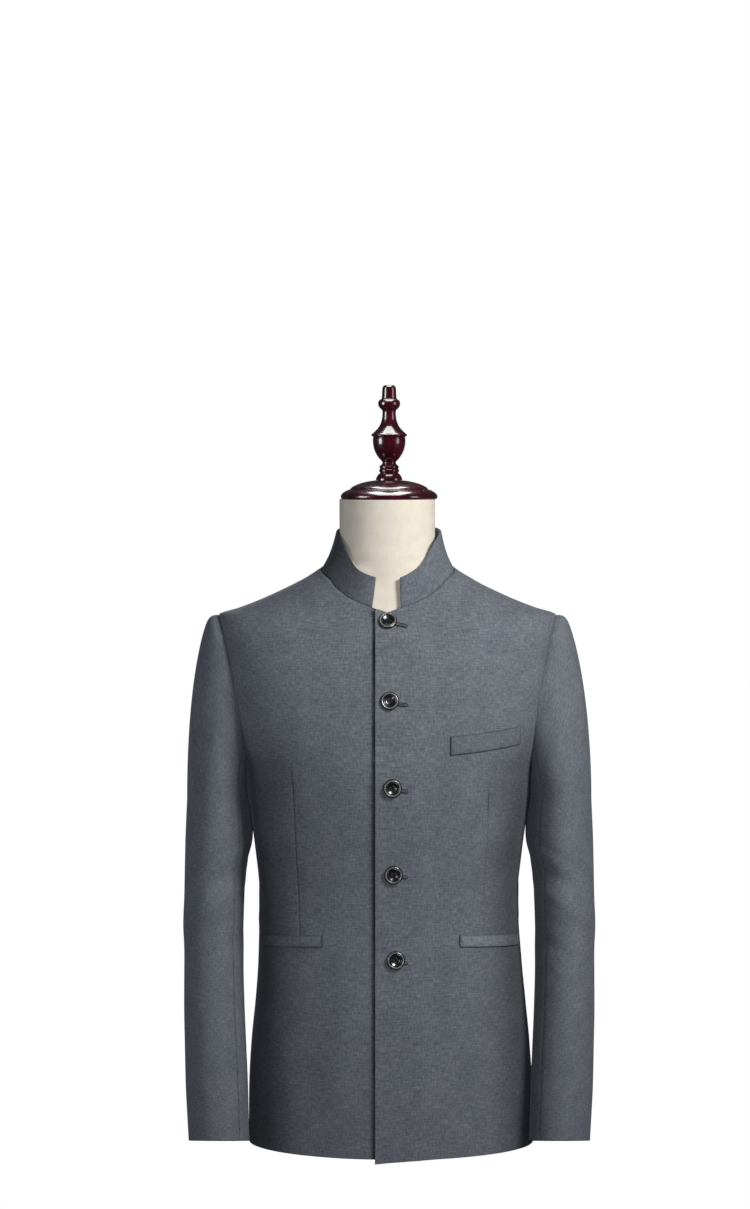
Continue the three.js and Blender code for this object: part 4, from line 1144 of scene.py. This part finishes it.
def button_frame(x, z):
    """Foot and axes of a button that lies on the left front at its highest place."""
    angle = front_angle(x, z)
    foot, normal = body_surface(angle, z), body_normal(angle, z)
    spots = np.array([(i, j) for i in (-1, 0, 1) for j in (-1, 0, 1)]) * BUTTON_RADIUS * BUTTON_SPOT
    under = on_front(np.stack([x + spots[:, 0], z + spots[:, 1], 0 * spots[:, 0]], -1))
    height = np.max((under - foot) @ normal) + LAY
    right = unit(np.cross([0, 0, 1.0], normal))
    return foot + normal * height, np.stack([right, np.cross(normal, right), normal])


def spin_matrix(turn):
    across, along = math.cos(turn), math.sin(turn)
    return np.array([[across, along, 0], [-along, across, 0], [0, 0, 1]])


class Gathered:
    """Several simple meshes gathered into one."""

    def __init__(self):
        self.points = []
        self.faces = []
        self.count = 0

    def add(self, points, faces):
        self.points.append(points)
        self.faces += [[k + self.count for k in face] for face in faces]
        self.count += len(points)

    def make(self, name):
        return mesh_object(name, np.concatenate(self.points), self.faces)


def subtract(piece, cutter):
    modifier = piece.modifiers.new("holes", "BOOLEAN")
    modifier.object = cutter
    modifier.solver = "EXACT"
    graph = bpy.context.evaluated_depsgraph_get()
    piece.data = bpy.data.meshes.new_from_object(piece.evaluated_get(graph))
    piece.modifiers.clear()
    bpy.data.objects.remove(cutter)


def button(name, place, spin):
    """A four-hole button with a round rim, a groove inside it and a dished middle."""
    foot, axes = place
    points, faces = turned_mesh(BUTTON_RUNS, BUTTON_SIDES)
    reach = np.linalg.norm(points[:, :2], axis=1)
    # A painted reflection: a pale ring in the rim's colour
    ring = bells(reach, BUTTON_PAINTED_RING) * (points[:, 2] > BUTTON_PAINTED_RING_BOTTOM)
    piece = mesh_object(name, foot + points @ axes, faces, {"ring": ring})
    drills = Gathered()
    drill_points, drill_faces = turned_mesh(DRILL_RUNS, DRILL_SIDES)
    for i, j in BUTTON_HOLES:
        hole = drill_points + np.array([i, j, 0]) * BUTTON_HOLE_OFFSET @ spin
        drills.add(foot + hole @ axes, drill_faces)
    subtract(piece, drills.make(name + "_drills"))
    piece.data.set_sharp_from_angle(angle=math.radians(SHARP))
    return piece


def thread(path, radius, place):
    """A round thread along a path, thinner at its ends; place maps its points."""
    along = unit(np.gradient(path, axis=0))
    side = unit(np.cross(along, [0, 0, 1.0]))
    top = np.cross(side, along)
    turn = np.linspace(0, 2 * math.pi, THREAD_SIDES + 1)[:-1, None]
    share = np.linspace(-1, 1, len(path))[:, None, None]
    thick = radius * np.sqrt(1 - THREAD_THINNING * share**4)
    ring = np.cos(turn) * side[:, None] + np.sin(turn) * top[:, None]
    ids = grid_ids(len(path), THREAD_SIDES)
    points = place(path[:, None] + ring * thick)
    return points.reshape(-1, 3), [*round_faces(ids), ids[0, ::-1], ids[-1]]


def arch(start, end, rise, steps=6):
    """A path from start to end that bows out from the cloth."""
    t = np.linspace(0, 1, steps + 1)[:, None]
    start, end = np.array(start, float), np.array(end, float)
    return start + (end - start) * t + np.array([0, 0, rise]) * 4 * t * (1 - t)


def button_thread(threads, place, spin):
    """Two threads through each pair of a button's holes."""
    foot, axes = place
    for i in (-1, 1):
        for shift in (-BUTTON_THREAD_SHIFT, BUTTON_THREAD_SHIFT):
            x, y = i * BUTTON_HOLE_OFFSET + shift, BUTTON_HOLE_OFFSET
            start = np.array([x, -y, BUTTON_THREAD_FOOT]) @ spin
            end = np.array([x, y, BUTTON_THREAD_FOOT]) @ spin
            path = arch(start, end, BUTTON_THREAD_RISE)
            threads.add(*thread(path, BUTTON_THREAD, lambda p: foot + p @ axes))


def hole_line(x, z, below, sag):
    """Start and end of a buttonhole's slit, and the ways ahead and beside it."""
    start = np.array([x + HOLE_START, z - below])
    end = np.array([HOLE_END, z - below - sag * (HOLE_END - x - HOLE_START)])
    ahead = unit(end - start)
    return start, end, ahead, np.array([-ahead[1], ahead[0]])


def hole_stitch(threads, place, way):
    """One stitch over the lip of a slit."""
    near, far = place + way * HOLE_GAP, place + way * HOLE_LIP
    path = arch([*near, HOLE_STAND], [*far, HOLE_STAND], STITCH_RISE)
    threads.add(*thread(path, STITCH_RADIUS, on_front))


def hole_stitches(threads, line):
    """Stitches on both lips of a slit and round its end."""
    start, end, ahead, beside = line
    for lip in (-1, 1):
        for k in range(int(np.linalg.norm(end - start) / STITCH_STEP) + 1):
            hole_stitch(threads, start + ahead * k * STITCH_STEP, beside * lip)
    for degrees in STITCH_FAN:
        turn = math.radians(degrees)
        hole_stitch(threads, end, ahead * math.cos(turn) + beside * math.sin(turn))


def hole_slit_shadow(line):
    """A dark sheet under a buttonhole's stitches, rounded at its end: a painted shadow of the
    slit's opening.
    """
    start, end, ahead, beside = line
    share = np.linspace(0, 1, HOLE_SLIT_SHADOW_STEPS)[:, None]
    turn = np.radians(HOLE_SLIT_SHADOW_ROUND)[:, None]
    outline = np.concatenate([
        mix(start, end, share) + beside * HOLE_SLIT_SHADOW,
        end + (ahead * np.cos(turn) + beside * np.sin(turn)) * HOLE_SLIT_SHADOW,
        mix(start, end, share[::-1]) - beside * HOLE_SLIT_SHADOW,
    ])
    along = np.clip((outline - start) @ ahead / ((end - start) @ ahead), 0, 1)
    middle = mix(start, end, along[:, None])
    rows = np.stack([outline, mix(outline, middle, 0.5), middle])
    flat = np.concatenate([rows, np.full(rows.shape[:2] + (1,), HOLE_STAND)], -1)
    return on_front(flat).reshape(-1, 3), grid_faces(grid_ids(*rows.shape[:2]))


def material(name):
    made = bpy.data.materials.new(name)
    made.use_nodes = True
    return made, made.node_tree, made.node_tree.nodes["Principled BSDF"]


def set_inputs(tree, node, values):
    """Sets a node's inputs; a value may be a constant or another node's output."""
    for key, value in values.items():
        if isinstance(value, bpy.types.NodeSocket):
            tree.links.new(value, node.inputs[key])
        else:
            node.inputs[key].default_value = value


def set_shader(tree, shader, **values):
    set_inputs(tree, shader, {key.replace("_", " "): value for key, value in values.items()})


def add_node(tree, kind, values=None, **settings):
    node = tree.nodes.new("ShaderNode" + kind)
    for key, value in settings.items():
        setattr(node, key, value)
    set_inputs(tree, node, values or {})
    return node


def attribute(tree, name, output):
    return add_node(tree, "Attribute", attribute_name=name).outputs[output]


def noise(tree, vector, stretch, detail=2.0, rough=0.5):
    """Noise whose grains measure 1 / stretch metres each way."""
    placed = add_node(tree, "Mapping", {"Vector": vector, "Scale": stretch}).outputs[0]
    values = {"Vector": placed, "Scale": 1.0, "Detail": detail, "Roughness": rough}
    return add_node(tree, "TexNoise", values).outputs[0]


def math_node(tree, operation, *values):
    return add_node(tree, "Math", dict(enumerate(values)), operation=operation).outputs[0]


def weighted_sum(tree, *parts):
    """The sum of some outputs, each times its share."""
    total = 0.0
    for value, share in parts:
        total = math_node(tree, "MULTIPLY_ADD", value, share, total)
    return total


def map_range(tree, value, low, high, new_low, new_high):
    values = {"Value": value, "From Min": low, "From Max": high}
    values.update({"To Min": new_low, "To Max": new_high})
    return add_node(tree, "MapRange", values).outputs[0]


def spread(tree, value, low, high):
    """Maps the middle of a noise's range to low to high."""
    return map_range(tree, value, *NOISE_RANGE, low, high)


def ramp(tree, value, stops):
    node = add_node(tree, "ValToRGB", {"Fac": value})
    elements = node.color_ramp.elements
    while len(elements) < len(stops):
        elements.new(0.5)
    for element, (place, colour) in zip(elements, stops):
        element.position = place
        element.color = (*colour, 1)
    return node.outputs[0]


def bump(tree, height, distance, strength):
    values = {"Height": height, "Distance": distance, "Strength": strength}
    return add_node(tree, "Bump", values).outputs[0]


def plain_weave(tree, vector, pitch):
    """Height of a plain weave of threads a pitch apart."""
    split = add_node(tree, "SeparateXYZ", {0: vector}).outputs
    waves = []
    for axis in (0, 1):
        turns = math_node(tree, "MULTIPLY", split[axis], 2 * math.pi / pitch)
        waves.append(math_node(tree, "SINE", turns))
    return math_node(tree, "MULTIPLY", *waves)


def woven_material(name, look, **gloss):
    """A plain weave with slubs both ways, faintly mottled, its colour scaled by the tone attribute,
    which holds painted shade at seams, edges and sides and painted light on the pocket welts.
    """
    made, tree, shader = material(name)
    cut = attribute(tree, "cut", "Vector")
    warp, weft = (noise(tree, cut, stretch) for stretch in (look.warp, look.weft))
    cloud = noise(tree, cut, look.cloud, look.cloud_detail)
    share = look.slub_share
    value = weighted_sum(tree, (warp, share), (weft, share), (cloud, look.cloud_share))
    scaled = {0: ramp(tree, value, look.shades), "Scale": attribute(tree, "tone", "Fac")}
    colour = add_node(tree, "VectorMath", scaled, operation="SCALE").outputs[0]
    weave = plain_weave(tree, cut, look.pitch)
    height = math_node(tree, "MULTIPLY_ADD", weave, look.weave_share, value)
    rough = spread(tree, value, *look.rough)
    normal = bump(tree, height, *look.bump)
    set_shader(tree, shader, Base_Color=colour, Roughness=rough, Normal=normal, **gloss)
    return made


def cloth_material():
    sheen = {"Sheen_Weight": 0.12, "Sheen_Roughness": 0.4, "Sheen_Tint": (0.8, 0.85, 1, 1)}
    return woven_material("jacket_cloth", CLOTH_LOOK, Specular_IOR_Level=0.12, **sheen)


def linen_material():
    sheen = {"Sheen_Weight": 0.1, "Sheen_Roughness": 0.5}
    return woven_material("form_linen", LINEN_LOOK, Specular_IOR_Level=0.2, **sheen)


def lacquer_material():
    """Dark red stain over a fine grain, under clear gloss."""
    made, tree, shader = material("form_wood")
    place = add_node(tree, "TexCoord").outputs["Object"]
    grain = noise(tree, place, (900, 900, 40), detail=3.0, rough=0.6)
    cloud = noise(tree, place, (45, 45, 25))
    value = weighted_sum(tree, (cloud, 1 - WOOD_GRAIN_SHARE), (grain, WOOD_GRAIN_SHARE))
    colour = ramp(tree, value, WOOD_SHADES)
    set_shader(tree, shader, Base_Color=colour, Roughness=spread(tree, cloud, 0.2, 0.3))
    set_shader(tree, shader, Coat_Weight=1.0, Coat_Roughness=0.09, Specular_IOR_Level=0.4)
    return made


def button_material():
    """Polished black, with faint scuffs that dull it unevenly, and a pale ring painted on the rim
    as its reflection.
    """
    made, tree, shader = material("button")
    place = add_node(tree, "TexCoord").outputs["Object"]
    scuff = noise(tree, place, (900, 900, 260), detail=4.0, rough=0.65)
    cloud = noise(tree, place, (160, 160, 160))
    black, pale = (ramp(tree, cloud, shades) for shades in (BUTTON_BLACK, BUTTON_PAINTED_REFLECTION))
    # The ring attribute mixes in the painted reflection's pale colour
    values = {"Factor": attribute(tree, "ring", "Fac"), "A": black, "B": pale}
    colour = add_node(tree, "Mix", values, data_type="RGBA").outputs["Result"]
    set_shader(tree, shader, Base_Color=colour, Roughness=spread(tree, scuff, 0.2, 0.28))
    set_shader(tree, shader, Specular_IOR_Level=0.8, Coat_Weight=0.5, Coat_Roughness=0.14)
    return made


def thread_material(name, shades):
    """Twisted thread: fine grains across its length."""
    made, tree, shader = material(name)
    place = add_node(tree, "TexCoord").outputs["Object"]
    twist = noise(tree, place, (2600, 2600, 2600), detail=1.0)
    colour, rough = ramp(tree, twist, shades), spread(tree, twist, 0.6, 0.42)
    normal = bump(tree, twist, distance=0.0002, strength=0.4)
    set_shader(tree, shader, Base_Color=colour, Roughness=rough, Normal=normal)
    set_shader(tree, shader, Sheen_Weight=0.15, Specular_IOR_Level=0.35)
    return made


def floor_material():
    """A pale matt floor that would fade out far from the object."""
    made, tree, shader = material("floor")
    place = add_node(tree, "NewGeometry").outputs["Position"]
    mottle = noise(tree, place, (9, 9, 9), detail=3.0)
    colour, rough = ramp(tree, mottle, FLOOR_SHADES), spread(tree, mottle, 0.85, 0.95)
    away = add_node(tree, "VectorMath", {0: place}, operation="LENGTH").outputs["Value"]
    shown = map_range(tree, away, *FLOOR_FADE, 1.0, 0.0)
    set_shader(tree, shader, Base_Color=colour, Roughness=rough, Alpha=shown)
    bounce = add_node(tree, "BsdfDiffuse", {"Color": FLOOR_BOUNCE}).outputs[0]
    split_rays(tree, bounce, shader.outputs[0], tree.nodes["Material Output"])
    return made


def split_rays(tree, light, seen, output):
    """Gives a surface one shader for the light that it throws, and another where it is seen."""
    rays = add_node(tree, "LightPath").outputs["Is Camera Ray"]
    mixed = add_node(tree, "MixShader", {0: rays, 1: light, 2: seen}).outputs[0]
    tree.links.new(mixed, output.inputs["Surface"])


def finish_piece(piece, look, slot, *nodes):
    """Gives a piece its material and body, and hides the CAD parts that it stands for. Its slot is
    not used.
    """
    piece.data.materials.clear()
    piece.data.materials.append(look)
    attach(piece, "root")
    if nodes:
        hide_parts(*nodes)


def area_light(name, place, target, size, power, colour):
    """A soft box at a place, aimed at a target; places are in metres."""
    data = bpy.data.lights.new(name, "AREA")
    data.shape = "RECTANGLE"
    data.size, data.size_y = size
    data.energy = power
    data.color = colour
    lamp = bpy.data.objects.new(name, data)
    lamp.location = place
    aim = Vector(target) - Vector(place)
    lamp.rotation_euler = aim.to_track_quat("-Z", "Y").to_euler()
    bpy.context.scene.collection.objects.link(lamp)
    return lamp


def gloss_lamps(name, lamps, pieces):
    """Lamps that show only in the gloss of some pieces."""
    group = bpy.data.collections.new(name)
    for piece in pieces:
        group.objects.link(piece)
    for settings in lamps:
        lamp = area_light(*settings)
        lamp.visible_diffuse = False
        lamp.light_linking.receiver_collection = group


def white_room():
    """A world that looks white and lights the object only faintly."""
    world = bpy.data.worlds.new("room")
    bpy.context.scene.world = world
    world.use_nodes = True
    tree = world.node_tree
    tree.nodes.clear()
    seen = add_node(tree, "Background", {"Color": (1, 1, 1, 1), "Strength": 1.0}).outputs[0]
    dim = add_node(tree, "Background", {"Color": ROOM_COLOUR, "Strength": ROOM_LIGHT}).outputs[0]
    split_rays(tree, dim, seen, add_node(tree, "OutputWorld"))


def camera():
    data = bpy.data.cameras.new("camera")
    data.lens = LENS
    data.sensor_width = SENSOR
    eye = bpy.data.objects.new("camera", data)
    eye.location = [MM * k for k in EYE]
    eye.rotation_euler = (math.radians(EYE_TILT), 0, 0)
    bpy.context.scene.collection.objects.link(eye)
    bpy.context.scene.camera = eye


def floor():
    corners = [(-1, -1), (1, -1), (1, 1), (-1, 1)]
    piece = mesh_object("floor", [(i * FLOOR, j * FLOOR, 0) for i, j in corners], [range(4)])
    piece.data.materials.append(floor_material())


def jacket_pieces():
    """Every cloth piece of the jacket, by the CAD node that it stands for."""
    pieces = {
        "front_left": front_panel("cloth_front_left", 1),
        "front_right": front_panel("cloth_front_right", -1),
        "back": back_panel("cloth_back"),
        "collar": collar("cloth_collar"),
    }
    for word, side in (("left", 1), ("right", -1)):
        for kind, first, last in SLEEVE_PANELS:
            node = f"{kind}_sleeve_{word}"
            pieces[node] = sleeve_panel("cloth_" + node, side, first, last)
        # The pocket welts' colour is lightened by painted light
        node = f"pocket_welt_{word}"
        pieces[node] = welt("cloth_" + node, side, POCKET_WELT, POCKET_PAINTED_LIGHT[side])
    pieces["chest_welt"] = welt("cloth_chest_welt", 1, CHEST_WELT, 1.0)
    return pieces


def cut_and_sew():
    """The jacket's cloth, each piece a sheet that rests on the form."""
    cloth = cloth_material()
    for node, piece in jacket_pieces().items():
        finish_piece(piece, cloth, "jacket_cloth", node)


def fasten():
    """The buttons with their threads, and the buttonholes. Returns the buttons."""
    # ground gathers the painted shadows of the buttonholes' slits
    stitches, threads, ground = Gathered(), Gathered(), Gathered()
    polish = button_material()
    buttons = []
    for k, (x, z) in enumerate(BUTTONS):
        place = button_frame(x, z)
        spin = spin_matrix(math.radians(BUTTON_TURNS[k]))
        buttons.append(button(f"button_{k + 1}_detail", place, spin))
        finish_piece(buttons[-1], polish, "button", f"button_{k + 1}")
        button_thread(threads, place, spin)
        line = hole_line(x, z, HOLE_BELOW[k], HOLE_SAG[k])
        hole_stitches(stitches, line)
        ground.add(*hole_slit_shadow(line))
    pale = thread_material("hole_thread", HOLE_THREAD)
    dark = thread_material("dark_thread_and_slit_shadow", DARK_THREAD)
    finish_piece(stitches.make("buttonhole_stitches"), pale, "jacket_cloth")
    finish_piece(threads.make("button_threads"), dark, "jacket_cloth")
    # The buttonholes' painted slit shadow takes the dark thread's material
    finish_piece(ground.make("buttonhole_slit_shadow"), dark, "jacket_cloth")
    return buttons


def stand_form():
    """The covered form under its turned wood. Returns the wooden pieces."""
    finish_piece(form_torso("linen_form"), linen_material(), "form_linen", "form_torso")
    lacquer = lacquer_material()
    cap = turned_wood("turned_cap", CAP_RUNS, NECK_TOP + MEET)
    finish_piece(cap, lacquer, "form_wood", "neck_cap")
    finial = turned_wood("turned_finial", FINIAL_RUNS, NECK_TOP + MEET * 2 + CAP_TALL)
    finish_piece(finial, lacquer, "form_wood", "finial")
    return [cap, finial]


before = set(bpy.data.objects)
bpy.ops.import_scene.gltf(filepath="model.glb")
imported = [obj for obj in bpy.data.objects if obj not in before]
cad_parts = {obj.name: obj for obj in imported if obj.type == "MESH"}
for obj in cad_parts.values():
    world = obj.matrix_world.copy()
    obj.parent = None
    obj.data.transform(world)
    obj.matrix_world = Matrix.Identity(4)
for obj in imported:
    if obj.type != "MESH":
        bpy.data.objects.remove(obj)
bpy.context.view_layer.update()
camera()
white_room()
for settings in LAMPS:
    area_light(*settings).visible_glossy = False
floor()
cut_and_sew()
buttons = fasten()
wood = stand_form()
gloss_lamps("glossy_wood", WOOD_LAMPS, wood)
gloss_lamps("glossy_buttons", BUTTON_LAMPS, buttons)

bpy.context.scene.view_settings.view_transform = "Standard"
